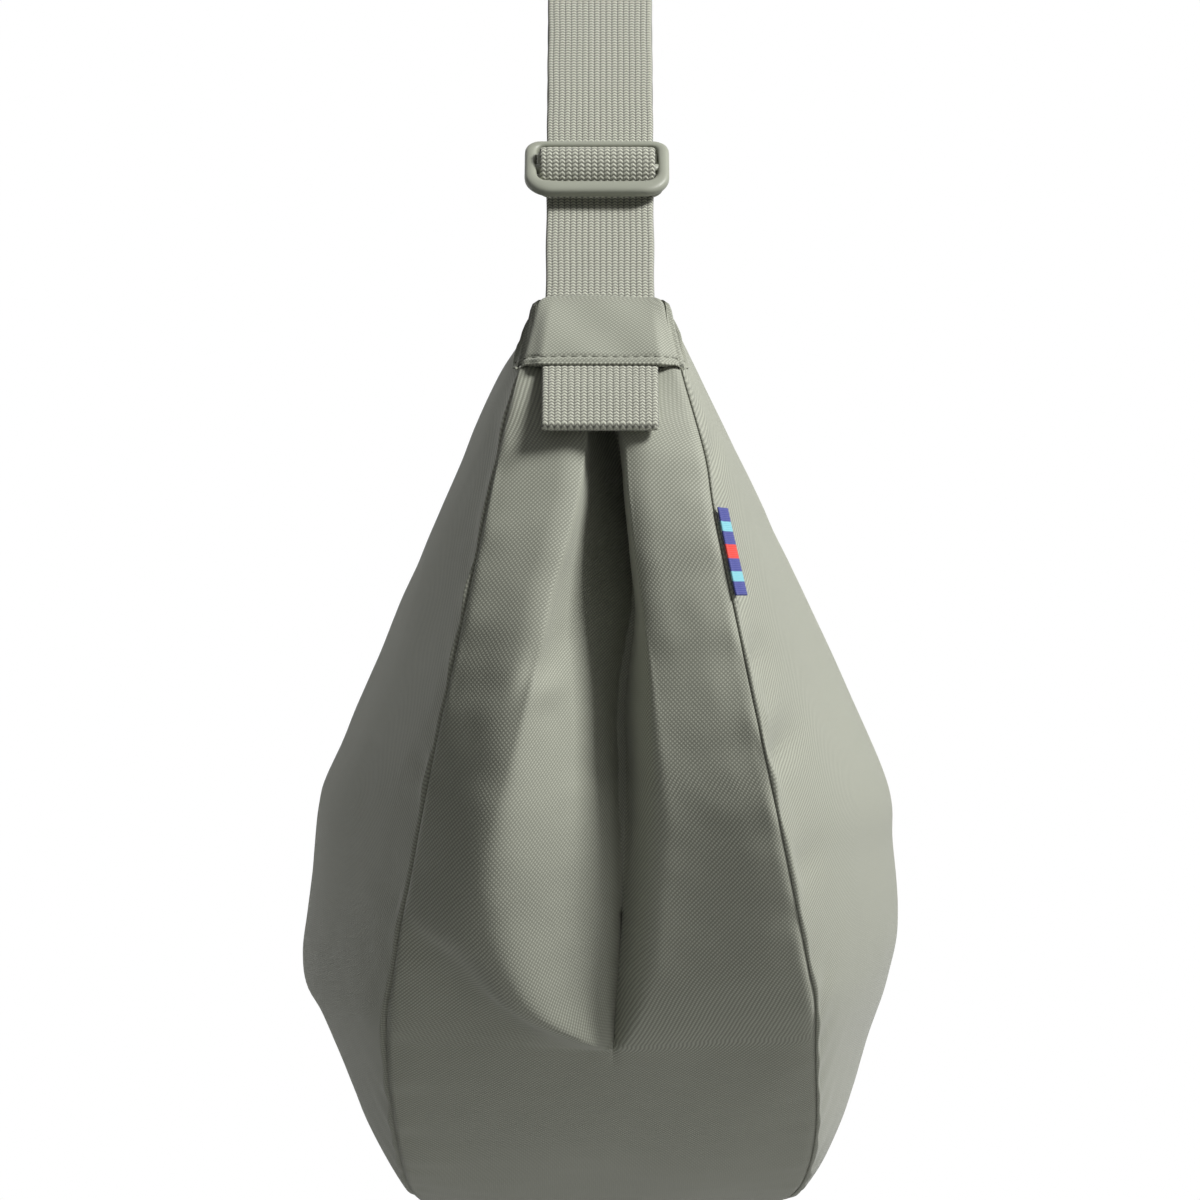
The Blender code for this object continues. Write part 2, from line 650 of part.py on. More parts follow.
def frame_mesh(width, height, side, bars, thick, corner, edge):
    """Flat frame with rounded corners, with one bar across it for each pair in bars."""
    levels = sorted({value for bar in bars for value in bar})
    across = [-width / 2, -width / 2 + side, width / 2 - side, width / 2]
    work = bmesh.new()
    corners = {}
    for layer in (-thick / 2, thick / 2):
        for i, level in enumerate(levels):
            for j, x in enumerate(across):
                corners[layer > 0, i, j] = work.verts.new((x, level, layer))
    solid = {(i, j) for i in range(len(levels) - 1) for j in range(3)
             if j != 1 or (levels[i], levels[i + 1]) in bars}
    for i, j in sorted(solid):
        loop = ((i, j), (i, j + 1), (i + 1, j + 1), (i + 1, j))
        work.faces.new([corners[True, a, b] for a, b in loop])
        work.faces.new([corners[False, a, b] for a, b in reversed(loop)])
        for (a, b), near in zip(zip(loop, loop[1:] + loop[:1]),
                                ((i - 1, j), (i, j + 1), (i + 1, j), (i, j - 1))):
            if near not in solid:
                work.faces.new([corners[False, *a], corners[False, *b],
                                corners[True, *b], corners[True, *a]])
    bmesh.ops.recalc_face_normals(work, faces=work.faces)
    posts = [e for e in work.edges if all(abs(abs(v.co.x) - width / 2) < CLEARANCE
                                          and v.co.y in (levels[0], levels[-1])
                                          for v in e.verts)
             and e.verts[0].co.z != e.verts[1].co.z]
    bmesh.ops.bevel(work, geom=posts, offset=corner, segments=4, profile=0.5,
                    affect="EDGES")
    bmesh.ops.dissolve_limit(work, angle_limit=math.radians(1), verts=work.verts,
                             edges=work.edges)
    sharp = [e for e in work.edges if e.calc_face_angle(0) > math.radians(60)]
    bmesh.ops.bevel(work, geom=sharp, offset=edge, segments=2, profile=0.5,
                    affect="EDGES", clamp_overlap=True)
    bmesh.ops.triangulate(work, faces=[f for f in work.faces if len(f.verts) > 4])
    vertices = [v.co.copy() for v in work.verts]
    work.verts.index_update()
    faces = [[v.index for v in f.verts] for f in work.faces]
    work.free()
    return vertices, faces


def branch_matrix(along, above, far):
    """Placement on a strap branch: x across, y up along it and z out of the bag."""
    y, z = branch(along, above, far)
    flip = -1 if far else 1
    columns = (Vector((1, 0, 0)), Vector((0, flip * math.sin(LEAN), math.cos(LEAN))),
               Vector((0, -flip * math.cos(LEAN), math.sin(LEAN))))
    matrix = Matrix.Identity(4)
    for index, column in enumerate(columns):
        matrix.col[index][:3] = column
    matrix.translation = (0, y, z)
    return matrix


def strap_fittings():
    """Ladder slider, the webbing over its middle bar and the rectangular ring."""
    top = SLIDER_HEIGHT / 2
    bars = {(-top, -top + SLIDER_BAR), (-CENTRE_BAR / 2, CENTRE_BAR / 2), (top - SLIDER_BAR, top)}
    mesh = frame_mesh(SLIDER_WIDTH, SLIDER_HEIGHT, SLIDER_SIDE, bars, SLIDER_THICK,
                      SLIDER_CORNER, BAR_EDGE)
    lift = WEB / 2 + CLEARANCE + SLIDER_THICK / 2
    finish_object("strap_slider", *mesh, PLASTIC_COLOUR, 0.5, 0.0,
                  branch_matrix(SLIDER_ALONG, lift, False))
    top = RING_HEIGHT / 2
    bars = {(-top, -top + RING_BAR), (top - RING_BAR, top)}
    mesh = frame_mesh(SLIDER_WIDTH, RING_HEIGHT, SLIDER_SIDE, bars, RING_BAR, SLIDER_CORNER,
                      RING_EDGE)
    wrap = RING_BAR / 2 + CLEARANCE + WEB / 2
    finish_object("strap_ring", *mesh, PLASTIC_COLOUR, 0.5, 0.0,
                  branch_matrix(RING_ALONG, -wrap, True))
    foot = WEB + CLEARANCE
    high = foot + SLIDER_THICK / 2 + CENTRE_BAR / 2 + WRAP_LIFT / 2
    path = [branch(SLIDER_ALONG - WRAP_HALF, foot)]
    for index in range(1, 10):
        angle = math.pi * index / 10
        path.append(branch(SLIDER_ALONG - WRAP_HALF * 0.8 * math.cos(angle),
                           foot + (high - foot) * math.sin(angle) ** 0.8))
    path.append(branch(SLIDER_ALONG + WRAP_HALF, foot))
    ribbon("slider_wrap", path, WEB_WIDTH)


# Zip

def block(name, low, high, colour, roughness=0.6, metallic=0.0):
    """Plain box between two corners."""
    vertices = [(x, y, z) for x in (low[0], high[0]) for y in (low[1], high[1])
                for z in (low[2], high[2])]
    faces = [(0, 1, 3, 2), (4, 6, 7, 5), (0, 4, 5, 1), (2, 3, 7, 6), (0, 2, 6, 4), (1, 5, 7, 3)]
    return finish_object(name, vertices, faces, colour, roughness, metallic)


def union(name, boxes, colour, roughness, metallic, origin):
    """One solid made of boxes that share volume, with its origin at its joint."""
    base = None
    for low, high in boxes:
        shift = Vector(origin)
        item = block(name, Vector(low) - shift, Vector(high) - shift, colour, roughness, metallic)
        if base is None:
            base = item
            base.name = name
            continue
        cutter = item
        change = base.modifiers.new("join", "BOOLEAN")
        change.operation = "UNION"
        change.solver = "EXACT"
        change.object = cutter
        graph = bpy.context.evaluated_depsgraph_get()
        joined = bpy.data.meshes.new_from_object(base.evaluated_get(graph))
        base.modifiers.clear()
        base.data = joined
        bpy.data.objects.remove(cutter)
    base.name = name
    base.location = origin
    return base


def zip_parts():
    """Tapes, coils, stops, and the slider with its pull."""
    top = WIDEST_Z + ZIP_HEIGHT
    tape_top = top - TAPE_DROP
    coil_top = tape_top + CLEARANCE + COIL_HIGH
    reach = ZIP_LENGTH / 2 + TAPE_TUCK
    for sign, side in ((1, "front"), (-1, "back")):
        for label, near, wide, low, high, length in (
                ("_zip_tape", TAPE_GAP, TAPE_EDGE, tape_top - TAPE, tape_top, reach),
                ("_zip_coil", COIL_GAP, COIL_GAP + COIL_WIDTH, tape_top + CLEARANCE, coil_top,
                 COIL_LENGTH / 2)):
            xs = sorted((sign * near, sign * wide))
            block(side + label, (xs[0], -length, low), (xs[1], length, high), TAPE_COLOUR)
    stop = COIL_LENGTH / 2 + CLEARANCE
    for sign, end in ((-1, "near"), (1, "far")):
        ys = sorted((sign * stop, sign * (stop + STOP_LENGTH)))
        block(end + "_zip_stop", (-STOP_WIDTH / 2, ys[0], tape_top + CLEARANCE),
              (STOP_WIDTH / 2, ys[1], coil_top), METAL_COLOUR, 0.4, 1.0)
    zip_slider(tape_top, coil_top)


def zip_slider(tape_top, coil_top):
    """Slider body round the coils and its hinged pull, lying along the zip."""
    half = PLATE_WIDTH / 2
    end = PLATE_LENGTH / 2
    plate_low = coil_top + CLEARANCE
    plate_high = plate_low + PLATE
    under = tape_top - TAPE - CLEARANCE
    bridge_low = plate_high + BRIDGE_GAP
    bridge = BRIDGE_LENGTH / 2
    flange = tape_top + CLEARANCE
    boxes = [((-half, -end, plate_low), (half, end, plate_high)),
             ((-half, -end, under - PLATE), (half, end, under)),
             ((-KEEL / 2, -KEEL_LENGTH / 2, under - PLATE / 2),
              (KEEL / 2, KEEL_LENGTH / 2, plate_low + PLATE / 2)),
             ((half - PLATE_FLANGE, -end, flange), (half, end, plate_low + PLATE / 2)),
             ((-half, -end, flange), (-half + PLATE_FLANGE, end, plate_low + PLATE / 2)),
             ((-BRIDGE_WIDTH / 2, -bridge, bridge_low),
              (BRIDGE_WIDTH / 2, bridge, bridge_low + BRIDGE_BAR)),
             ((-BRIDGE_WIDTH / 2, -bridge, plate_high - PLATE / 2),
              (BRIDGE_WIDTH / 2, -bridge + BRIDGE_BAR, bridge_low + BRIDGE_BAR / 2)),
             ((-BRIDGE_WIDTH / 2, bridge - BRIDGE_BAR, plate_high - PLATE / 2),
              (BRIDGE_WIDTH / 2, bridge, bridge_low + BRIDGE_BAR / 2))]
    boxes = [((a[0], a[1] + ZIP_REST, a[2]), (b[0], b[1] + ZIP_REST, b[2])) for a, b in boxes]
    pin_z = plate_high + BRIDGE_GAP / 2
    union("zip_slider", boxes, METAL_COLOUR, 0.4, 1.0, (0, ZIP_REST, pin_z))
    pin = PULL_PIN / 2
    eye = PULL_EYE_WIDTH / 2
    boxes = [((-eye, -pin, -pin), (eye, pin, pin)),
             ((-eye, -PULL_EYE_LENGTH, -pin), (-eye + PULL_PIN, pin, pin)),
             ((eye - PULL_PIN, -PULL_EYE_LENGTH, -pin), (eye, pin, pin)),
             ((-PULL_WIDTH / 2 - PULL_PIN / 4, -PULL_EYE_LENGTH - PULL_LENGTH, -PULL_THICK / 2),
              (PULL_WIDTH / 2 + PULL_PIN / 4, -PULL_EYE_LENGTH + PULL_PIN, PULL_THICK / 2))]
    boxes = [((a[0], a[1] + ZIP_REST, a[2] + pin_z), (b[0], b[1] + ZIP_REST, b[2] + pin_z))
             for a, b in boxes]
    union("zip_pull", boxes, METAL_COLOUR, 0.4, 1.0, (0, ZIP_REST, pin_z))


def build():
    """The whole bag."""
    for item in list(bpy.data.objects):
        bpy.data.objects.remove(item)
    cloth_pieces()
    side_label()
    strap_webbing()
    tab_loops()
    strap_fittings()
    zip_parts()


build()
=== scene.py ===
"""Looks of a half moon shoulder bag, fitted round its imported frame. Lengths are in metres."""
import json
import math
from contextlib import contextmanager

import bmesh
import bpy
import numpy as np
from mathutils import Matrix, Vector

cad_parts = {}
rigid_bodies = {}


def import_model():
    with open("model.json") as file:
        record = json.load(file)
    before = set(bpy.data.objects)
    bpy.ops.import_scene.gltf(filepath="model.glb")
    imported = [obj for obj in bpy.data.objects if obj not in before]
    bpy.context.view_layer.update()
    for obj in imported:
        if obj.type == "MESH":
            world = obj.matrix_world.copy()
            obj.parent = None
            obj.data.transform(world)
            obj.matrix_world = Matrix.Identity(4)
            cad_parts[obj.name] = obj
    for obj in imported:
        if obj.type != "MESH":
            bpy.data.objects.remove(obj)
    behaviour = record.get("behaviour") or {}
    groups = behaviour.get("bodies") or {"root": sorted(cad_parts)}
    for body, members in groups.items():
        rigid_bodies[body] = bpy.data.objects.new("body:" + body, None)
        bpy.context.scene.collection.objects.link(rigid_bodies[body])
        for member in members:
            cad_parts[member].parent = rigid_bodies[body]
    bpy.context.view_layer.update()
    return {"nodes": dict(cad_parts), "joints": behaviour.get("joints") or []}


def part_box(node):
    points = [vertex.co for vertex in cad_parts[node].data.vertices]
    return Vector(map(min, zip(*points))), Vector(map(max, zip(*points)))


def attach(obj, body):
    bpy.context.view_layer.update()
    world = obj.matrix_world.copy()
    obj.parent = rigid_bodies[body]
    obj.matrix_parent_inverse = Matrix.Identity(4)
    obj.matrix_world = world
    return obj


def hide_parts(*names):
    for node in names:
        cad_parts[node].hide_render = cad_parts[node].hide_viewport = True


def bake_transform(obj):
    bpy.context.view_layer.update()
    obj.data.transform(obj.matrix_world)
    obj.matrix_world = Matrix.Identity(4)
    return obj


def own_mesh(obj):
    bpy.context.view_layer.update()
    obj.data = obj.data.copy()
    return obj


bl_info = {
    "name": "Half moon shoulder bag",
    "version": (1, 0, 0),
    "blender": (4, 5, 0),
    "location": "3D View > Sidebar > Bag",
    "description": "Cloth, webbing, zip and fittings of a half moon shoulder bag",
    "category": "Object",
}

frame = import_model()
SIDES = {1: "front", -1: "back"}

# Fixed proportions of the frame. HUMP brings the peak of x ** 2 * (1 - x) to one
ZIP_DROP = 0.0020
ZIP_INSET = 0.042
ZIP_MOUTH_HALF = 0.008
CAP_SEAM_DROP = 0.0245
CAP_SEAM_SAG = 0.0062
CAP_SEAM_PINCH = 0.0024
GUSSET_SOFTEN = 0.004
TIP_ROUND = 0.0046
TIP_PINCH = 0.0022
MOUTH_DEPTH = 0.0058
MOUTH_GAP = 0.0002
CAP_WAIST = 0.0012
SHIFT_FADE = 0.16
BASE_BLEND = 0.012
HUMP = 6.75
PIVOT_RISE = 0.002
CLOTH = 0.0014
WEB = 0.0016
CLEARANCE = 0.0003
CROWN_RADIUS = 0.025
CROWN_FLAT = 0.012
ROOT_DEPTH = CLOTH + CLEARANCE + WEB / 2
RUN_RADIUS = CROWN_RADIUS + WEB + CLEARANCE + WEB / 2
RETURN_RADIUS = CROWN_RADIUS + WEB / 2
LAYER_STEP = WEB + CLEARANCE
DENSE = 4001
QUARTER = DENSE // 4

# Strap, tabs, fittings, zip and label. ZIP_METAL has each node, its body and its bevel
STUB_DEPTH = 0.012
GIVE_BELOW = 0.012
GIVE_ABOVE = 0.040
WEB_STEPS = {"strap": 0.0026, "ring": 0.0016, "wrap": 0.0008, "tab": 0.0007}
RETURN_FOOT = 0.0036
RING_STRAP_END = 0.042
WRAP_ENDS = (-0.0092, 0.0078)
WRAP_MIDDLE = -0.0010
WRAP_REACH = 0.0070
WRAP_OVER_BAR = 0.0053
WRAP_SHIFT = -0.0009
WRAP_SPARE = 0.003
TAB_DROP = 0.0314
TAB_STAND = 0.0040
POINTS_PER_RIB = 4
SLIDER_ALONG = 0.0645
SLIDER_WIDTH = 0.0514
SLIDER_HEIGHT = 0.0272
SLIDER_THICK = 0.0045
SLIDER_TILT = 0.11
SLIDER_STRETCH = 1.07
SLIDER_SHIFT = (-0.0011, -0.0020, 0.0012)
SLIDER_BARS = (0.0030, 0.0060)
SLIDER_CORNERS = (0.0052, 0.0092, 0.0026, 0.0046)
MIDDLE_BAR = 0.0036
BAR_SHORT = 0.006
FRAME_SIDE = 0.0044
RING_ALONG = 0.096
RING_HEIGHT = 0.026
RING_BAR = 0.0040
RING_CORNERS = (0.0055, 0.0055, 0.0026, 0.0026)
TAPE_BEVEL = 0.00015
ZIP_METAL = (("near_zip_stop", "bag", 0.0004), ("far_zip_stop", "bag", 0.0004),
             ("zip_slider", "zip_slider_body", 0.0003), ("zip_pull", "zip_pull_body", 0.0003))
COIL_PITCH = 0.0015
COIL_WIRE = 0.0003
LABEL_LEVELS = (0.0665, 0.0365)
LABEL_REACH = 0.060
LABEL_LIFT = 0.0006
LABEL_CURL = 0.0014
LABEL_WAVE = 0.0003
LABEL_THICK = 0.0007
LABEL_FOLD = 0.0003

# Seams, hems and stitches. Turns are how deep the rows of an edge lie in its seam, rolls are how
# far an edge sinks there and how wide. An inset is how far in from an edge a line of stitches or a
# welt runs. The dip under the stitches and the welt have a height and a width
SEAM_TURNS = (0.0012, 0.0030, 0.0052)
CAP_TURNS = (0.0012, 0.0028)
PANEL_ROLLS = {1: (0.0010, 0.0020), -1: (0.0020, 0.0034)}
GUSSET_ROLLS = {1: (0.0014, 0.0045), -1: (0.0006, 0.0030)}
CAP_ROLL = (0.0015, 0.0040)
CAP_DRAWS = {1: 0.64, -1: 0.57}
CAP_TUCK = 0.0020
CAP_TUCK_REACH = 0.0040
HEM_RADIUS = 0.0011
HEM_UNDER = (0.0050, 0.0022)
INNER_UNDER = (0.0060, 0.0006)
CAP_PROUD = {"side": 0.0009, "end": 0.0007}
CAP_HEM = {"side": 0.0012, "end": 0.0010}
CAP_HEM_TUCK = 0.0002
CAP_HEM_REACH = 0.0009
CAP_TOP_RADIUS = 0.0008
CAP_REACH = 0.018
CAP_STITCH_INSET = 0.0031
ZIP_STITCH_INSET = 0.0035
THREAD_LIFT = 0.0001
DIP = (0.00045, 0.0006)
WELT = (0.0003, 0.0011)
WELT_INSET = 0.0014
END_CAP_SWELL = 0.0034

# Waves of the cloth: seed, rise, shortest and longest
WAVES = {"panel_soft": (11, 0.0004, 0.08, 0.20), "panel_fine": (23, 0.00004, 0.02, 0.05),
         "panel_pinch": (31, 0.0005, 0.014, 0.045), "panel_hem": (41, 0.0005, 0.008, 0.02),
         "gusset_soft": (51, 0.0005, 0.07, 0.18), "gusset_fine": (57, 0.00005, 0.012, 0.04),
         "gusset_pinch": (61, 0.0005, 0.014, 0.045), "side_cap": (71, 0.0002, 0.008, 0.03),
         "end_cap": (81, 0.0003, 0.02, 0.06)}

# Outline from the front: levels as shares of the zip's height or of the depth, and half widths
PROFILE_LEVELS = (1.0, 0.998, 0.992, 0.982, 0.964, 0.935, 0.893, 0.686, 0.397, 0.036,
                  -0.161, -0.285, -0.414, -0.518, -0.622, -0.715, -0.829, -0.928, -1.0)
PROFILE_HALVES = (0.0080, 0.0130, 0.0190, 0.0240, 0.0280, 0.0317, 0.0350, 0.0480, 0.0667,
                  0.0893, 0.1045, 0.1105, 0.1128, 0.1120, 0.1060, 0.0985, 0.0890,
                  0.0805, 0.0730)

# Pleat, level by level: its folds and its valley as shares of the half width, then how deep it is
# and how far the cloth beside it stands out. Its section changes where PLEAT_FADES says: below its
# middle, above it, where the left fold turns over, and where the pleat closes
PLEAT_LEVELS = (1.0, 0.784, 0.62, 0.46, 0.328, 0.095, -0.098, -0.171, -0.26, -0.347, -0.425,
                -0.487, -0.555, -0.60, -0.625, -0.777, -1.0)
BACK_FOLDS = (-0.10, -0.13, -0.18, -0.275, -0.36, -0.43, -0.53, -0.585, -0.63, -0.61, -0.49,
              -0.35, -0.08, 0.02, 0.04, -0.20, -0.333)
VALLEYS = (0.03, 0.05, 0.075, 0.10, 0.125, 0.13, 0.14, 0.135, 0.125, 0.115, 0.10,
           0.088, 0.072, 0.064, 0.06, 0.08, 0.10)
FRONT_FOLDS = (0.14, 0.21, 0.225, 0.25, 0.29, 0.36, 0.40, 0.42, 0.41, 0.36, 0.33,
               0.28, 0.19, 0.13, 0.11, 0.28, 0.45)
PLEAT_DEPTHS = (0.010, 0.034, 0.038, 0.037, 0.033, 0.0280, 0.0240, 0.0190, 0.0145, 0.0118,
                0.0100, 0.0085, 0.0055, 0.0024, 0.0, 0.0, 0.0)
PLEAT_CREVICES = (0.0, 0.0, 0.0, 0.002, 0.004, 0.008, 0.010, 0.0095, 0.008, 0.0065, 0.0055,
                  0.0040, 0.0020, 0.0005, 0.0, 0.0, 0.0)
BACK_RIDGES = (0.0, 0.0, 0.0, 0.001, 0.002, 0.005, 0.0105, 0.0140, 0.0172, 0.0186, 0.0190,
               0.0180, 0.0115, 0.0035, 0.0005, 0.0, 0.0)
FRONT_RIDGES = (0.0, 0.0020, 0.0010, -0.0015, -0.0030, -0.0042, -0.0040, -0.0035, -0.0030,
                -0.0015, 0.0012, 0.0030, 0.0026, 0.0014, 0.0006, 0.0, 0.0)
PLEAT_FADES = ((0.045, -0.060), (-0.035, 0.100), (-0.055, 0.080), (-0.070, -0.040))
FOLD_CELLS = (28, 28, 24, 26)
FOLD_ROLL = 0.0022
FOLD_ROLL_REACH = 0.009
CREVICE_REACH = 0.0042

# Dimples of the gusset: x, height, rise, width, tallness and slant
FOLD_DIMPLES = ((-0.0222, 0.0125, -0.0018, 0.0034, 0.0080, 0.9),
                (-0.0180, 0.0045, 0.0020, 0.0045, 0.0060, 0.6),
                (-0.0145, 0.0220, -0.0010, 0.0040, 0.0140, 0.5))

# Creases of the side panels: side, level, degrees, reach, width and rise, lengths in millimetres.
# They fade in over two stretches in metres, past the bag's middle and beside the seam
PANEL_CREASES = ((1, -21, 13, 85, 6.0, -2.6), (1, -8, 15, 65, 6.0, 1.6),
                 (1, 13, 8, 60, 5.0, -1.6), (1, 33, 20, 55, 5.0, -2.0),
                 (1, 80, 15, 55, 6.0, -1.6), (1, -58, 12, 60, 6.0, -1.5),
                 (-1, -24, 12, 40, 4.0, -1.4), (-1, 42, 15, 40, 4.0, -1.2),
                 (-1, -70, 10, 40, 4.0, -1.2))
CREASE_NEAR = (0.050, 0.030)
CREASE_START = (0.002, 0.008)

# How far each side of the soft bag, and each seam of its gusset, departs from the even frame:
# levels and shifts in millimetres
PROFILE_SHIFTS = {
    1: ((138, 0), (131, -3.0), (123, -3.2), (114, -2.5), (92, -0.9), (72, -0.3), (60, -0.7),
        (48, 0.1), (34, 1.2), (18, 2.5), (0, 3.0), (-29, 3.4), (-42, 2.6), (-57, -0.1),
        (-80, -0.3), (-91, -0.6), (-103, -1.6), (-114, -1.4), (-126, -1.4), (-137, -0.2),
        (-148, 1.1), (-160, 1.7), (-178, 0.1), (-187, -3.0), (-193, -8.0)),
    -1: ((138, 0), (132, -3.7), (126, -4.0), (116, -2.3), (98, -1.7), (84, -2.6), (68, -2.4),
         (49, -2.0), (35, -1.2), (18, -2.0), (-2, -2.0), (-18, -2.3), (-33, -0.9), (-42, -1.5),
         (-64, -3.2), (-82, -2.2), (-98, -0.1), (-109, 1.1), (-118, -1.1), (-129, -1.7),
         (-146, -1.5), (-158, -1.3), (-178, -3.2), (-187, -6.0), (-193, -9.0))}
SEAM_SHIFTS = {
    1: ((141, 2.2), (128, 2.0), (112, 1.9), (85, 3.2), (66, 2.0), (38, 1.7), (-9, 1.7), (-60, 2.3),
        (-91, 3.6), (-103, 4.9), (-125, 4.2), (-153, 5.0), (-172, 3.4), (-183, 0.4), (-193, -5.0)),
    -1: ((141, 1.6), (128, 1.4), (110, 1.4), (85, 1.7), (45, 1.2), (-8, 1.5), (-37, 1.4),
         (-60, 1.2), (-75, 1.8), (-95, 2.2), (-108, 3.2), (-130, 2.6), (-148, 1.0), (-167, -0.8),
         (-182, -3.0), (-193, -7.0))}

# Stage. Each light has its name, its place from the bag's middle, its power's setting and its size
FLOOR_RADIUS = 1.3
FLOOR_SIDES = 96
LIGHTS = (("key_softbox", (1.43, -0.80, 1.61), "key_power", 0.60),
          ("low_softbox", (1.20, -0.87, -0.87), "low_power", 1.0))


# Numbers

def unit(vectors):
    """Vectors of length one."""
    return vectors / np.maximum(np.linalg.norm(vectors, axis=-1, keepdims=True), 1e-12)


def smooth_step(value):
    """Smooth step from zero to one."""
    value = np.clip(value, 0, 1)
    return value * value * (3 - 2 * value)


def curve_through(points, steps=24):
    """Dense smooth curve through a list of points."""
    points = np.asarray(points, float)
    padded = np.vstack([2 * points[0] - points[1], points, 2 * points[-1] - points[-2]])
    step = np.linspace(0, 1, steps, endpoint=False)[:, None]
    pieces = []
    for index in range(1, len(padded) - 2):
        before, start, end, after = padded[index - 1:index + 3]
        pieces.append(0.5 * (2 * start + (end - before) * step
                             + (2 * before - 5 * start + 4 * end - after) * step ** 2
                             + (3 * start - before - 3 * end + after) * step ** 3))
    return np.vstack(pieces + [points[-1:]])


def level_table(pairs):
    """Heights and values of a table in millimetres, as a smooth curve in metres."""
    curve = curve_through(np.array(pairs, float) / 1000)
    return np.minimum.accumulate(curve[:, 0]), curve[:, 1]


def ripples(seed, points, shortest, longest, count=14):
    """Uneven smooth ripples of about one, the same each time, over points of any dimension."""
    random = np.random.RandomState(seed)
    total = np.zeros(points.shape[:-1])
    for _ in range(count):
        way = unit(random.normal(size=points.shape[-1]))
        length = shortest * (longest / shortest) ** random.uniform()
        phase = random.uniform(0, 2 * math.pi)
        total += np.sin((points @ way) * 2 * math.pi / length + phase)
    return total / math.sqrt(count / 2)


def waves(kind, points, side=0):
    """One kind of the cloth's waves over the points of a piece."""
    seed, rise, shortest, longest = WAVES[kind]
    return rise * ripples(seed + side, points, shortest, longest)


def squared(wave, power):
    """Wave drawn toward a square one, for sections of moulded bars."""
    return np.sign(wave) * np.abs(wave) ** (2 / power)


def lengths_along(grid, axis):
    """Distance run along one axis of a grid of points."""
    steps = np.linalg.norm(np.diff(grid, axis=axis), axis=-1)
    zero = np.zeros_like(np.take(steps, [0], axis=axis))
    return np.concatenate([zero, np.cumsum(steps, axis=axis)], axis=axis)


def repeated(grid, rows, columns=(0, 0)):
    """Grid with its outer rows and columns repeated, as often as each pair says."""
    return np.pad(grid, (rows, columns) + ((0, 0),) * (grid.ndim - 2), mode="edge")


def grid_normals(grid, outward):
    """Unit normals of a grid, on the side that a rough outward field points to."""
    normals = unit(np.cross(np.gradient(grid, axis=0), np.gradient(grid, axis=1)))
    return normals if (normals * outward).sum() > 0 else -normals


# Surfaces of the bag

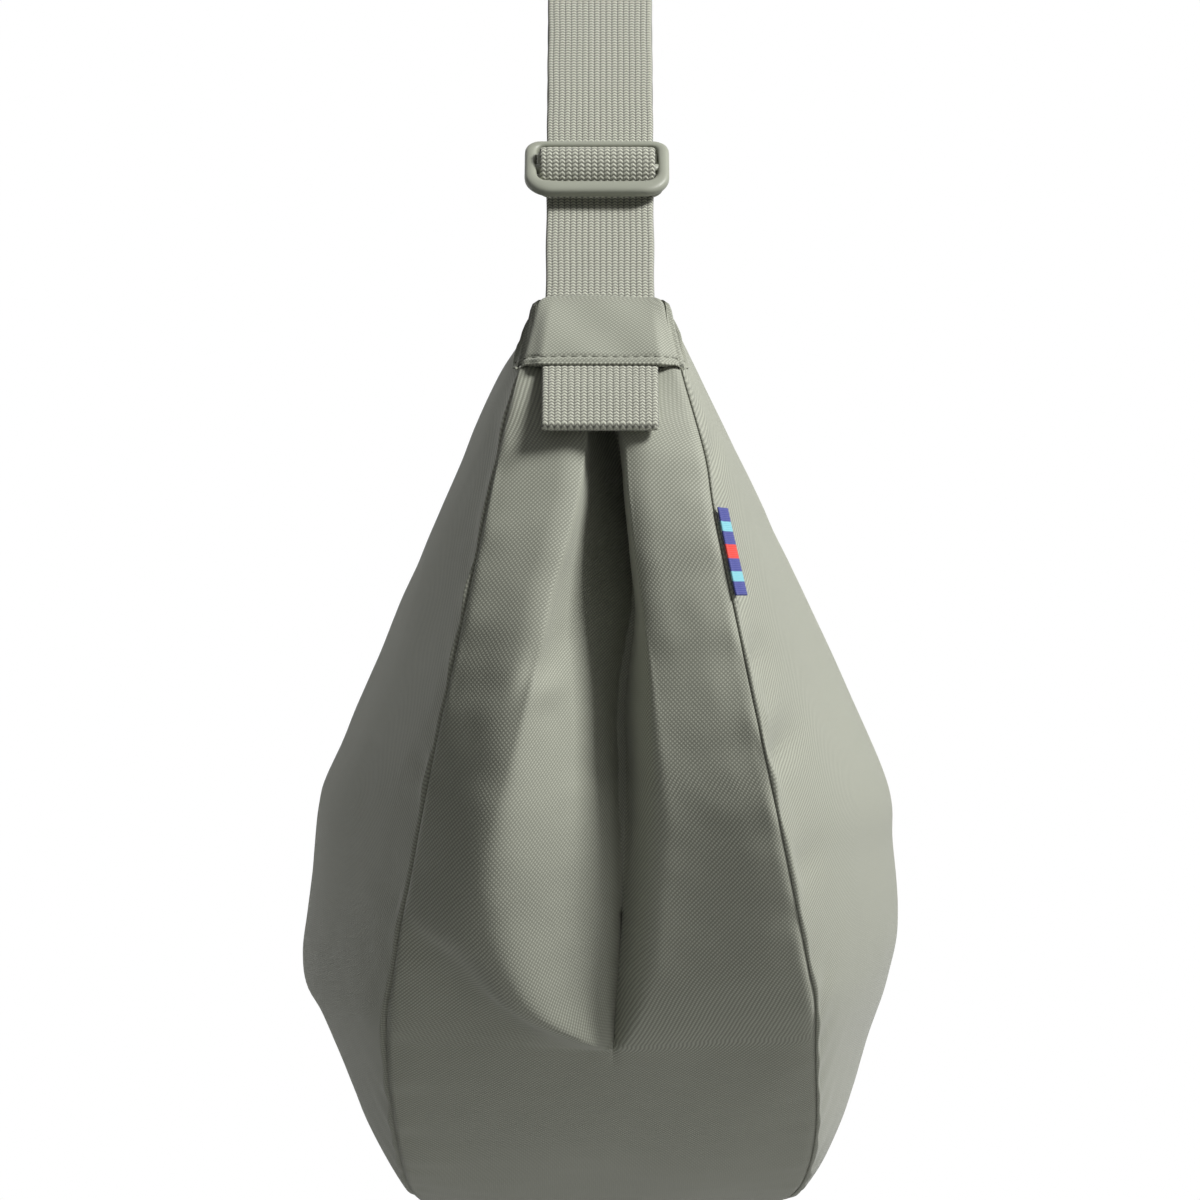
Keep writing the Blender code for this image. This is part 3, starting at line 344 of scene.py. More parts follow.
class BagForm:
    """Surfaces of the bag, worked out from its sizes."""

    def __init__(self, sizes):
        self.half = sizes.bag_length / 2
        self.depth = sizes.base_depth
        self.rise = sizes.shoulder_rise
        self.spread = sizes.bag_length * sizes.tip_spread_share
        self.tip_angle = math.acos(sizes.tip_spread_share)
        self.tip_half = sizes.gusset_tip_half
        self.base_half = sizes.gusset_base_half
        self.flare_share = sizes.gusset_flare_share
        self.crown = sizes.gusset_crown
        self.tip_height = self.rise * math.sin(self.tip_angle)
        self.zip_height = self.tip_height - ZIP_DROP
        self.zip_length = self.spread - 2 * ZIP_INSET
        self.cap_height = self.tip_height - CAP_SEAM_DROP
        self.lean = math.atan2(self.half * math.sin(self.tip_angle),
                               self.rise * math.cos(self.tip_angle))
        out_y, out_z = -math.cos(self.lean), math.sin(self.lean)
        root_y = -self.spread / 2 - out_y * ROOT_DEPTH
        root_z = self.tip_height - out_z * ROOT_DEPTH
        centre = root_z - (RUN_RADIUS - (root_y + CROWN_FLAT / 2) * out_y) / out_z
        self.widest = -(centre + CROWN_RADIUS)
        self.pivot = self.widest + self.tip_height + PIVOT_RISE
        self.base = self.widest - self.depth
        angle = np.linspace(self.tip_angle, -math.pi - self.tip_angle, DENSE)
        reach = np.where(np.sin(angle) > 0, self.rise, self.depth)
        self.line_y = -self.half * np.cos(angle)
        self.line_height = reach * np.sin(angle)
        run = np.hypot(np.diff(self.line_y), np.diff(self.line_height))
        self.span = run.sum()
        self.line_share = np.concatenate([[0], np.cumsum(run)]) / self.span
        self.cap_share = float(self.share_at(self.cap_height))
        levels = np.array(PROFILE_LEVELS)
        levels = levels * np.where(levels > 0, self.zip_height, self.depth)
        self.profile = curve_through(np.column_stack([levels, PROFILE_HALVES]))
        self.profile[:, 0] = np.minimum.accumulate(self.profile[:, 0])
        self.profile_shift = {side: level_table(rows) for side, rows in PROFILE_SHIFTS.items()}
        self.seam_shift = {side: level_table(rows) for side, rows in SEAM_SHIFTS.items()}

    def line_at(self, share):
        """Point and outward normal on the gusset's centre line."""
        y = np.interp(share, self.line_share, self.line_y)
        height = np.interp(share, self.line_share, self.line_height)
        run_y = np.interp(share, self.line_share, np.gradient(self.line_y))
        run_z = np.interp(share, self.line_share, np.gradient(self.line_height))
        size = np.hypot(run_y, run_z)
        return y, height, run_z / size, -run_y / size

    def share_at(self, height):
        """Share of the gusset's line at a height on its near upper part."""
        return np.interp(-np.asarray(height), -self.line_height[:QUARTER],
                         self.line_share[:QUARTER])

    def line_out(self, share):
        """Outward normals on the gusset's centre line as vectors."""
        _, _, out_y, out_z = self.line_at(share)
        return np.stack([0 * out_y, out_y, out_z], axis=-1)

    def band_shares(self, steps):
        """Shares of the gusset's line for steps from the near cap to the far one."""
        return self.cap_share + (1 - 2 * self.cap_share) * steps

    def flare(self, height, side):
        """Half width of the gusset on one side at a level."""
        wide = self.tip_half + self.flare_share * (self.tip_height - height)
        spare = (self.base_half - wide) / GUSSET_SOFTEN
        even = self.base_half - GUSSET_SOFTEN * np.logaddexp(0, spare)
        levels, shifts = self.seam_shift[side]
        return even + np.interp(-height, -levels, shifts)

    def seam_half(self, share, side):
        """Half width of the gusset along its line, rounded off at the tips."""
        _, height, _, _ = self.line_at(share)
        from_tip = np.minimum(share, 1 - share) * self.span
        inside = np.clip(1 - from_tip / TIP_ROUND, 0, 1)
        return self.flare(height, side) - TIP_PINCH * (1 - np.sqrt(1 - inside * inside))

    def seam_points(self, share, side):
        """Seam between the gusset and a side panel."""
        y, height, _, _ = self.line_at(share)
        return np.stack([side * self.seam_half(share, side), y, self.widest + height], axis=-1)

    def side_half(self, y, height, side):
        """Half thickness of one side of the bag at a place on it."""
        mid = np.interp(-height, -self.profile[:, 0], self.profile[:, 1])
        levels, shifts = self.profile_shift[side]
        fade = np.exp(-(np.maximum(y, 0) / SHIFT_FADE) ** 2)
        mid = mid + np.interp(-height, -levels, shifts) * fade
        edge = self.flare(height, side)
        mid = edge + (mid - edge) * smooth_step((height + self.depth) / BASE_BLEND)
        reach = np.where(height > 0, self.rise, self.depth)
        end = self.half * np.sqrt(np.clip(1 - (height / reach) ** 2, 0, 1))
        across = np.clip(np.abs(y) / np.maximum(end, CLEARANCE), 0, 1)
        power = 2.2 + 3.8 * smooth_step(height / self.zip_height)
        return edge + (mid - edge) * (1 - across ** power)

    def panel(self, steps, rows, side):
        """Side panel: steps run from near cap to far cap, rows from zip to seam."""
        steps = np.asarray(steps)[:, None]
        rows = np.asarray(rows)[None, :]
        top_y = self.zip_length * (steps - 0.5)
        seam = self.seam_points(self.band_shares(steps), side)
        y = top_y + (seam[..., 1] - top_y) * rows
        height = self.zip_height + (seam[..., 2] - self.widest - self.zip_height) * rows
        near = 1 - np.minimum(steps, 1 - steps)
        height = height - CAP_SEAM_SAG * HUMP * rows ** 2 * (1 - rows) * near ** 14
        half = self.side_half(y, height, side)
        top_half = self.side_half(top_y, self.zip_height + 0 * top_y, side)
        half = half + (ZIP_MOUTH_HALF - top_half) * (1 - rows) ** 10
        seam_half = self.side_half(seam[..., 1], seam[..., 2] - self.widest, side)
        half = half + (side * seam[..., 0] - seam_half) * rows ** 4
        half = half - CAP_SEAM_PINCH * HUMP * rows ** 2 * (1 - rows) * near ** 14
        return np.stack([side * half, y, self.widest + height], axis=-1)

    def mouth(self, rows, side):
        """Half of the closed tip, from the top centre line to the gusset's seam."""
        across = np.interp(rows, (0.0, 0.30, 0.62, 0.78, 0.90, 1.0),
                           (0.0, 0.42, 0.88, 0.97, 1.0, 1.0))
        deep = MOUTH_DEPTH * np.interp(rows, (0.0, 0.62, 0.78, 0.90, 1.0),
                                       (1.0, 0.98, 0.80, 0.42, 0.0))
        y, height, out_y, out_z = self.line_at(0.0)
        half = float(self.seam_half(0.0, side))
        x = MOUTH_GAP + (half - MOUTH_GAP) * across
        return np.stack([side * x, y - out_y * deep, self.widest + height - out_z * deep], axis=-1)

    def side_cap(self, steps, rows, side):
        """Near side cap: steps run from the cap's seam to the strap's mouth."""
        start = self.panel([0.0], rows, side)
        way = self.mouth(rows, side)[None] - start
        body = start + way * steps[:, None, None]
        body[..., 0] = (start + way * steps[:, None, None] ** CAP_DRAWS[side])[..., 0]
        seam = self.seam_points(self.cap_share * (1 - steps), side)
        body = body + (seam - body[:, -1])[:, None] * rows[None, :, None] ** 3
        body[:, :, 0] -= side * CAP_WAIST * np.sin(math.pi * steps[:, None]) * rows[None, :]
        close = (side * MOUTH_GAP - body[:, 0, 0]) * smooth_step(steps * 6)
        body[:, :, 0] += close[:, None] * (1 - rows[None, :]) ** 8
        return body

    def pleat(self, height, values):
        """Value of one of the pleat's tables at a level."""
        levels = np.array(PLEAT_LEVELS)
        heights = levels * np.where(levels > 0, self.cap_height, self.depth)
        curve = curve_through(np.column_stack([heights, values]), 12)
        return np.interp(-height, -np.minimum.accumulate(curve[:, 0]), curve[:, 1])

    def branch(self, along, above, far=False):
        """Point beside a strap branch: along it from the tip and above its middle."""
        out_y, out_z = -math.cos(self.lean), math.sin(self.lean)
        root_y = -self.spread / 2 - out_y * ROOT_DEPTH
        root_z = self.widest + self.tip_height - out_z * ROOT_DEPTH
        y = root_y + along * math.sin(self.lean) + above * out_y
        z = root_z + along * math.cos(self.lean) + above * out_z
        return (-y if far else y, z)

    def arch(self, radius):
        """Crown of the strap from the near tangent point to the far one."""
        turn = math.pi / 2 - self.lean
        angles = math.pi - self.lean - turn * np.linspace(0, 1, 24)
        half = [(-CROWN_FLAT / 2 + radius * math.cos(a), -CROWN_RADIUS + radius * math.sin(a))
                for a in angles]
        return half + [(-y, z) for y, z in reversed(half)]


# Meshes

def placed(name, data):
    """Object that holds some data, linked at the origin."""
    thing = bpy.data.objects.new(name, data)
    bpy.context.scene.collection.objects.link(thing)
    return thing


@contextmanager
def opened(mesh):
    """Mesh opened for changes, which are written back at the end."""
    work = bmesh.new()
    work.from_mesh(mesh)
    yield work
    work.to_mesh(mesh)
    work.free()


def grid_quads(rows, columns, first=0, flip=False, wrap=(0, 0)):
    """Quads of a grid of vertices, closed on itself the ways that wrap says."""
    index = np.arange(rows * columns).reshape(rows, columns) + first
    index = np.pad(index, [(0, way) for way in wrap], mode="wrap")
    quads = np.stack([index[:-1, :-1], index[:-1, 1:], index[1:, 1:], index[1:, :-1]], axis=-1)
    return quads.reshape(-1, 4)[:, (0, 3, 2, 1) if flip else (0, 1, 2, 3)].tolist()


def add_mesh(name, vertices, faces, uvs=None, materials=()):
    """Smooth mesh object at the origin, turned outwards, with a map in metres if one is given."""
    mesh = bpy.data.meshes.new(name)
    mesh.from_pydata(np.asarray(vertices, float).tolist(), [], [list(f) for f in faces])
    with opened(mesh) as work:
        if work.calc_volume(signed=True) < 0:
            bmesh.ops.reverse_faces(work, faces=work.faces)
    if uvs is not None:
        layer = mesh.uv_layers.new(name="cloth")
        order = np.zeros(len(mesh.loops), np.int64)
        mesh.loops.foreach_get("vertex_index", order)
        layer.data.foreach_set("uv", np.asarray(uvs, np.float32)[order].ravel())
    mesh.polygons.foreach_set("use_smooth", np.ones(len(mesh.polygons), bool))
    for item in materials:
        mesh.materials.append(item)
    return placed(name, mesh)


def shell(name, outer, inner, uvs, skin, every=5):
    """Closed cloth piece: a fine outer grid, a coarse inner one and strips between their rims."""
    rows, columns = outer.shape[:2]
    keep_i = sorted(set(range(0, rows, every)) | {rows - 1})
    keep_j = sorted(set(range(0, columns, every)) | {columns - 1})
    kept, base = np.ix_(keep_i, keep_j), rows * columns
    vertices = np.vstack([outer.reshape(-1, 3), inner[kept].reshape(-1, 3)])
    maps = np.vstack([uvs.reshape(-1, 2), uvs[kept].reshape(-1, 2)])
    faces = grid_quads(rows, columns) + grid_quads(len(keep_i), len(keep_j), base, True)
    index = np.arange(base).reshape(rows, columns)
    low = base + np.arange(len(keep_i) * len(keep_j)).reshape(len(keep_i), len(keep_j))
    rims = ((keep_j, index[0], low[0], False), (keep_i, index[:, -1], low[:, -1], False),
            (keep_j, index[-1], low[-1], True), (keep_i, index[:, 0], low[:, 0], True))
    for keep, fine, rough, back in rims:
        for a in range(len(keep) - 1):
            run = [int(v) for v in fine[keep[a]:keep[a + 1] + 1]]
            middle = len(run) // 2
            fan = [(rough[a], run[k + 1], run[k]) for k in range(middle)]
            fan.append((rough[a], rough[a + 1], run[middle]))
            fan += [(rough[a + 1], run[k + 1], run[k]) for k in range(middle, len(run) - 1)]
            faces += [tuple(int(v) for v in (reversed(f) if back else f)) for f in fan]
    return add_mesh(name, vertices, faces, maps, [skin])


def tube_path(path, spacing):
    """A path of y and z points made dense and even."""
    path = np.asarray(path, float)
    run = lengths_along(path, 0)
    count = max(3, int(round(run[-1] / spacing)) + 1)
    even = np.linspace(0, run[-1], count)
    return np.column_stack([np.interp(even, run, path[:, k]) for k in range(path.shape[1])])


def rounded_path(points, radius, steps=8):
    """A path whose corners are rounded."""
    points = [np.asarray(p, float) for p in points]
    result = [points[0]]
    for before, corner, after in zip(points, points[1:], points[2:]):
        cut = min(radius, np.linalg.norm(before - corner) / 2, np.linalg.norm(after - corner) / 2)
        start = corner + unit(before - corner) * cut
        end = corner + unit(after - corner) * cut
        for t in np.linspace(0, 1, steps):
            result.append((1 - t) ** 2 * start + 2 * t * (1 - t) * corner + t * t * end)
    return result + [points[-1]]


def webbing(name, path, width, skin, ribs, spacing, shift=0.0):
    """Ribbed webbing swept along a path of y and z, closed at both ends."""
    path = tube_path(path, spacing)
    run = unit(np.gradient(path, axis=0))
    side = np.stack([-run[:, 1], run[:, 0]], axis=1)
    along = lengths_along(path, 0)
    across = np.linspace(-1, 1, ribs * POINTS_PER_RIB + 1)
    turn = across * ribs * math.pi / 2
    groove = np.abs(np.cos(turn) if ribs % 2 else np.sin(turn))
    edge = np.sqrt(np.clip(1 - np.abs(across) ** 14, 0, 1))
    half = WEB / 2 * (0.82 + 0.18 * np.sqrt(groove)) * edge
    round_x = np.concatenate([across, across[::-1][1:-1]])
    round_h = np.concatenate([half, -half[::-1][1:-1]])
    ripple = 1 + 0.006 * np.sin(along * 2 * math.pi / 0.0024)
    grid = np.zeros((len(path), len(round_x), 3))
    grid[..., 0] = (round_x * width / 2)[None, :] * ripple[:, None] + shift
    grid[..., 1:] = path[:, None] + side[:, None] * round_h[None, :, None]
    uvs = np.stack(np.broadcast_arrays(round_x * ribs / 2, along[:, None]), axis=-1)
    faces = grid_quads(len(path), len(round_x), wrap=(0, 1))
    index = np.arange(len(path) * len(round_x)).reshape(len(path), len(round_x))
    top = len(across)
    for ring, flip in ((index[0], True), (index[-1], False)):
        lower = [ring[0]] + list(ring[top:][::-1]) + [ring[top - 1]]
        for a in range(top - 1):
            quad = [ring[a], ring[a + 1], lower[a + 1], lower[a]]
            quad = list(dict.fromkeys(int(v) for v in quad))
            faces.append(quad if flip else quad[::-1])
    thing = add_mesh(name, grid.reshape(-1, 3), faces, uvs.reshape(-1, 2), [skin])
    with opened(thing.data) as work:
        bmesh.ops.recalc_face_normals(work, faces=work.faces)
    return thing


def frame_ring(width, height, sides, bars, corners, thick, steps=160, power=2.6):
    """Points and faces of a moulded frame: x across, y up and z out, with one rounded window."""
    angles = np.linspace(0, 2 * math.pi, steps, endpoint=False)

    def contour(half_w, top, foot, round_top, round_foot):
        points = []
        for sx, sy, start in ((1, -1, -90), (1, 1, 0), (-1, 1, 90), (-1, -1, 180)):
            edge, radius = (top, round_top) if sy > 0 else (foot, round_foot)
            centre = (sx * (half_w - radius), edge - sy * radius)
            for a in np.radians(np.linspace(start, start + 90, 24)):
                points.append((centre[0] + radius * math.cos(a), centre[1] + radius * math.sin(a)))
        points = np.array(points + points[:1])
        start = int(np.argmin(np.abs(np.arctan2(points[:, 1], points[:, 0]))))
        points = np.vstack([points[start:-1], points[:start + 1]])
        turn = np.unwrap(np.arctan2(points[:, 1] * width / height, points[:, 0]))
        return np.column_stack([np.interp(angles, turn - turn[0], points[:, k]) for k in (0, 1)])

    outer = contour(width / 2, height / 2, -height / 2, corners[0], corners[1])
    inner = contour(width / 2 - sides, height / 2 - bars[0], -height / 2 + bars[1],
                    corners[2], corners[3])
    turn = np.linspace(0, 2 * math.pi, 20, endpoint=False)
    middle, reach = (outer + inner) / 2, (outer - inner) / 2
    grid = np.zeros((steps, len(turn), 3))
    grid[..., :2] = middle[:, None] + reach[:, None] * squared(np.cos(turn), power)[None, :, None]
    grid[..., 2] = squared(np.sin(turn), power) * thick / 2
    return grid.reshape(-1, 3), grid_quads(steps, len(turn), flip=True, wrap=(1, 1))


def bar(length, high, thick, steps=12, power=2.4):
    """Points and faces of a straight rounded bar across a frame."""
    turn = np.linspace(0, 2 * math.pi, 16, endpoint=False)
    grid = np.zeros((steps, len(turn), 3))
    grid[..., 0] = np.linspace(-length / 2, length / 2, steps)[:, None]
    grid[..., 1] = squared(np.cos(turn), power) * high / 2
    grid[..., 2] = squared(np.sin(turn), power) * thick / 2
    index = np.arange(steps * len(turn)).reshape(steps, len(turn))
    faces = grid_quads(steps, len(turn), flip=True, wrap=(0, 1))
    faces += [index[0].tolist(), index[-1][::-1].tolist()]
    return grid.reshape(-1, 3), faces


def join_parts(parts):
    """Points and faces of several parts as one list each."""
    vertices, faces, base = [], [], 0
    for points, polygons in parts:
        vertices.append(np.asarray(points, float))
        faces += [[base + v for v in polygon] for polygon in polygons]
        base += len(points)
    return np.vstack(vertices), faces


def on_branch(form, points, along, above, far):
    """Points with x across, y up a strap branch and z out of it, put in place."""
    flip = -1 if far else 1
    y, z = form.branch(along, above, far)
    up = np.array([0, flip * math.sin(form.lean), math.cos(form.lean)])
    out = np.array([0, -flip * math.cos(form.lean), math.sin(form.lean)])
    points = np.asarray(points, float)
    return (points[:, :1] * np.array([1, 0, 0]) + points[:, 1:2] * up + points[:, 2:3] * out
            + np.array([0, y, z]))


# Node trees

class Socket:
    """A node's output that takes part in sums."""

    def __init__(self, graph, output):
        self.graph = graph
        self.output = output

    def __add__(self, other):
        return self.graph.math("ADD", self, other)

    def __sub__(self, other):
        return self.graph.math("SUBTRACT", self, other)

    def __rsub__(self, other):
        return self.graph.math("SUBTRACT", other, self)

    def __mul__(self, other):
        return self.graph.math("MULTIPLY", self, other)

    def __truediv__(self, other):
        return self.graph.math("DIVIDE", self, other)

    def __pow__(self, other):
        return self.graph.math("POWER", self, other)

    __radd__ = __add__
    __rmul__ = __mul__

    def wave(self):
        """Zero to one sine wave, one turn for each unit."""
        return self.graph.math("SINE", self * (2 * math.pi)) * 0.5 + 0.5

    def fraction(self):
        """What is left over the whole number below."""
        return self.graph.math("FRACT", self)

    def beside(self, index):
        """Another output of the same node."""
        return Socket(self.graph, self.output.node.outputs[index])

    def size(self):
        """Value without its sign."""
        return self.graph.math("ABSOLUTE", self)

    def clamp(self, low=0.0, high=1.0):
        """Value kept between two limits."""
        return self.graph.math("MINIMUM", self.graph.math("MAXIMUM", self, low), high)


class Graph:
    """A node tree that is written as expressions."""

    def __init__(self, tree):
        self.tree = tree

    def node(self, kind, settings=None, inputs=None, output=0):
        """Any node: its settings first, then the values or links of its sockets."""
        item = self.tree.nodes.new(kind)
        for key, value in (settings or {}).items():
            if key == "stops":
                for element, (place, colour) in zip(item.color_ramp.elements, value[:2]):
                    element.position, element.color = place, colour
                for place, colour in value[2:]:
                    item.color_ramp.elements.new(place).color = colour
            else:
                setattr(item, key, value)
        for key, value in (inputs or {}).items():
            if isinstance(value, Socket):
                self.tree.links.new(value.output, item.inputs[key])
            else:
                item.inputs[key].default_value = value
        return Socket(self, item.outputs[output]) if item.outputs else item

    def math(self, operation, *values):
        """Sum of one or more values."""
        return self.node("ShaderNodeMath", {"operation": operation}, dict(enumerate(values)))

    def mix(self, factor, first, second):
        """Colour between two colours."""
        return self.node("ShaderNodeMix", {"data_type": "RGBA"},
                         {0: factor, 6: first, 7: second}, output=2)

    def tint(self, factor, colour, low, high):
        """A colour that goes from one share of its brightness to another."""
        return self.mix(factor, shaded(colour, low), shaded(colour, high))

    def noise(self, vector, scale, detail=2.0):
        """Soft noise of about zero to one."""
        return self.node("ShaderNodeTexNoise", {},
                         {"Vector": vector, "Scale": scale, "Detail": detail, "Roughness": 0.5})

    def flat_map(self):
        """The two coordinates of a map laid on the surface, and the map itself."""
        place = self.node("ShaderNodeUVMap", {"uv_map": "cloth"})
        first = self.node("ShaderNodeSeparateXYZ", {}, {0: place})
        return first, first.beside(1), place

    def objects(self):
        """Object coordinates."""
        return self.node("ShaderNodeTexCoord", {}, output=3)


def new_finish(name, colour, roughness, specular=0.5, sheen=0.0, metallic=0.0):
    """Material with the shader's constant sockets set, and its graph and shader node."""
    skin = bpy.data.materials.new(name)
    skin.use_nodes = True
    shader = skin.node_tree.nodes["Principled BSDF"]
    shader.inputs["Base Color"].default_value = (*colour, 1)
    shader.inputs["Roughness"].default_value = roughness
    shader.inputs["Specular IOR Level"].default_value = specular
    shader.inputs["Sheen Weight"].default_value = sheen
    shader.inputs["Sheen Roughness"].default_value = 0.5
    shader.inputs["Metallic"].default_value = metallic
    return skin, Graph(skin.node_tree), shader


def drive(graph, shader, colour=None, roughness=None, height=None, distance=0.0003, strength=1.0):
    """Link what changes over a surface into its shader."""
    if colour is not None:
        graph.tree.links.new(colour.output, shader.inputs["Base Color"])
    if roughness is not None:
        graph.tree.links.new(roughness.output, shader.inputs["Roughness"])
    if height is not None:
        bump = graph.node("ShaderNodeBump", {}, {"Strength": strength, "Distance": distance,
                                                 "Height": height})
        graph.tree.links.new(bump.output, shader.inputs["Normal"])


def shaded(colour, share):
    """Colour made darker or lighter, as a socket value."""
    return tuple(min(1.0, c * share) for c in colour[:3]) + (1.0,)


def cloth_finish(looks):
    """Fine sage twill with diagonal lines, uneven dye and a soft sheen. The lines are a real weave
    pattern drawn partly as painted shade in the weave's grooves and painted light on its ridges,
    following its bump.
    """
    colour = tuple(looks.cloth_colour)
    skin, graph, shader = new_finish("cloth_twill", colour, 0.62, 0.3, 0.15)
    u, v, place = graph.flat_map()
    drift = graph.noise(place, 120.0, 2.0)
    pitch = looks.twill_pitch * math.sqrt(2)
    lines = ((u - v) / pitch + drift * 0.5).wave()
    threads = ((u + v) / pitch + drift * 0.4).wave()
    grain = graph.noise(place, 1500.0, 1.0)
    broad = graph.noise(place, 9.0, 3.0)
    weave = lines * 0.4 + threads * 0.05 + threads * lines * 0.5 + grain * 0.15
    # Painted shade and light: the twill's colour darkens where its bump is low, in the grooves, and
    # lightens on its ridges
    toned_colour = graph.tint((weave * 0.9 + 0.05).clamp(), colour, 0.56, 1.42)
    uneven_dye_and_weave_shade = graph.mix((broad * 1.6 - 0.5).clamp() * 0.35, toned_colour, shaded(colour, 1.08))
    drive(graph, shader, uneven_dye_and_weave_shade, 0.7 - weave * 0.12, weave, 0.00014, 0.8)
    return skin


def webbing_finish(looks):
    """Ribbed webbing of small chained loops, with painted shade in the gaps between them and
    painted light on their tops.
    """
    colour = tuple(looks.webbing_colour)
    skin, graph, shader = new_finish("ribbed_webbing", colour, 0.6, 0.3, 0.2)
    u, v, place = graph.flat_map()
    drift = graph.noise(place, 60.0, 2.0)
    across = (u.fraction() - 0.5).size() * 2
    loop = (v / looks.loop_pitch + across * 0.5 + drift * 0.3).wave()
    height = ((1 - across ** 3.5) * 0.75 + 0.25) * (loop * 0.85 + 0.15)
    deep = (height * 1.5 - 0.12).clamp()
    grain = graph.noise(place, 2500.0, 1.0)
    # Painted shade and light: the colour goes from very dark in the gaps between loops to light on
    # the loop tops, following their bump
    pale = graph.tint(deep ** 0.8, colour, 0.16, 1.5)
    toned_colour = graph.mix(grain * 0.3, pale, shaded(colour, 0.9))
    drive(graph, shader, toned_colour, 0.75 - deep * 0.2, height + grain * 0.15, 0.0005, 0.9)
    return skin


def plastic_finish(looks):
    """Matte moulded plastic with a fine spark grain."""
    colour = tuple(looks.plastic_colour)
    skin, graph, shader = new_finish("moulded_plastic", colour, 0.45, 0.45)
    place = graph.objects()
    grain = graph.noise(place, 2600.0, 2.0)
    toned_colour = graph.tint(graph.noise(place, 90.0, 2.0) * 0.6, colour, 0.94, 1.06)
    drive(graph, shader, toned_colour, grain * 0.16 + 0.38, grain, 0.00005, 0.5)
    return skin


def thread_finish(looks):
    """Twisted sewing thread, a shade darker than the cloth."""
    colour = tuple(looks.thread_colour)
    skin, graph, shader = new_finish("sewing_thread", colour, 0.55, 0.3, 0.1)
    twist = graph.noise(graph.objects(), 3000.0, 1.0)
    drive(graph, shader, graph.tint(twist, colour, 0.75, 1.2), None, twist, 0.0001, 0.5)
    return skin


def tape_finish(looks):
    """Fine herringbone zip tape."""
    colour = tuple(looks.tape_colour)
    skin, graph, shader = new_finish("zip_tape_weave", colour, 0.7, 0.25, 0.1)
    x = graph.node("ShaderNodeSeparateXYZ", {}, {0: graph.objects()})
    y = x.beside(1)
    rows = (y / 0.0008 + (x / 0.0021).fraction() * 1.2).wave()
    drive(graph, shader, graph.tint(rows, colour, 0.8, 1.12), None, rows, 0.0001, 0.6)
    return skin


def coil_finish(looks):
    """Nylon coil of the zip."""
    colour = tuple(looks.tape_colour)
    skin, graph, shader = new_finish("zip_coil_nylon", shaded(colour, 1.05)[:3], 0.4, 0.5)
    grain = graph.noise(graph.objects(), 1800.0, 1.0)
    toned_colour = graph.tint(grain, colour, 0.9, 1.2)
    drive(graph, shader, toned_colour, grain * 0.2 + 0.3, grain, 0.00005, 0.3)
    return skin


def metal_finish(looks):
    """Painted zip metal, rubbed brighter on its high spots."""
    colour = tuple(looks.metal_colour)
    skin, graph, shader = new_finish("painted_zip_metal", colour, 0.35, 0.5, 0.0, 0.6)
    place = graph.objects()
    wear = graph.noise(place, 500.0, 4.0)
    fine = graph.noise(place, 3500.0, 2.0)
    rubbed = graph.tint((wear * 4 - 2.4).clamp(), colour, 0.9, 1.5)
    drive(graph, shader, rubbed, fine * 0.2 + 0.28, fine, 0.00004, 0.3)
    return skin


def label_finish(looks):
    """Woven ribbon with even bands across its length."""
    navy, pale, red = [(*shade, 1) for shade in (looks.label_navy, looks.label_pale,
                                                 looks.label_red)]
    skin, graph, shader = new_finish("woven_ribbon", navy[:3], 0.65, 0.3, 0.15)
    u, v, _ = graph.flat_map()
    stops = list(zip((0.0, 0.16, 0.27, 0.42, 0.58, 0.73, 0.84),
                     (navy, pale, navy, red, navy, pale, navy)))
    bands = graph.node("ShaderNodeValToRGB", {"stops": stops}, {0: v})
    bands.output.node.color_ramp.interpolation = "CONSTANT"
    weave = (v * 46).wave() * 0.6 + (u * 22).wave() * 0.4
    woven = graph.mix(weave * 0.25, bands, shaded((0.6, 0.6, 0.6), 1.0))
    drive(graph, shader, graph.mix(0.45, bands, woven), None, weave, 0.00015, 0.7)
    return skin


FINISHES = {"cloth": cloth_finish, "webbing": webbing_finish, "plastic": plastic_finish,
            "thread": thread_finish, "tape": tape_finish, "coil": coil_finish,
            "metal": metal_finish, "label": label_finish}
MADE = {}


def finish_of(context, key):
    """Material of one finish, made once."""
    if key not in MADE:
        MADE[key] = FINISHES[key](context.scene.bag_looks)
    return MADE[key]


# Repeats along a line

def new_tree(name, numbers, material):
    """Graph of a geometry tree with named inputs for its sizes and material, and their sockets."""
    tree = bpy.data.node_groups.new(name, "GeometryNodeTree")
    face = tree.interface
    face.new_socket("Geometry", in_out="INPUT", socket_type="NodeSocketGeometry")
    for key, value in numbers.items():
        face.new_socket(key, in_out="INPUT", socket_type="NodeSocketFloat").default_value = value
    face.new_socket(material, in_out="INPUT", socket_type="NodeSocketMaterial")
    face.new_socket("Geometry", in_out="OUTPUT", socket_type="NodeSocketGeometry")
    graph = Graph(tree)
    given = tree.nodes.new("NodeGroupInput")
    return graph, [Socket(graph, given.outputs[k]) for k in range(len(numbers) + 2)]


def end_tree(graph, geometry, material):
    """Tree closed with real, smooth geometry and its material."""
    real = graph.node("GeometryNodeRealizeInstances", {}, {"Geometry": geometry})
    smooth = graph.node("GeometryNodeSetShadeSmooth", {}, {"Geometry": real})
    result = graph.node("GeometryNodeSetMaterial", {}, {"Geometry": smooth, "Material": material})
    out = graph.tree.nodes.new("NodeGroupOutput")
    graph.tree.links.new(result.output, out.inputs[0])
    return graph.tree


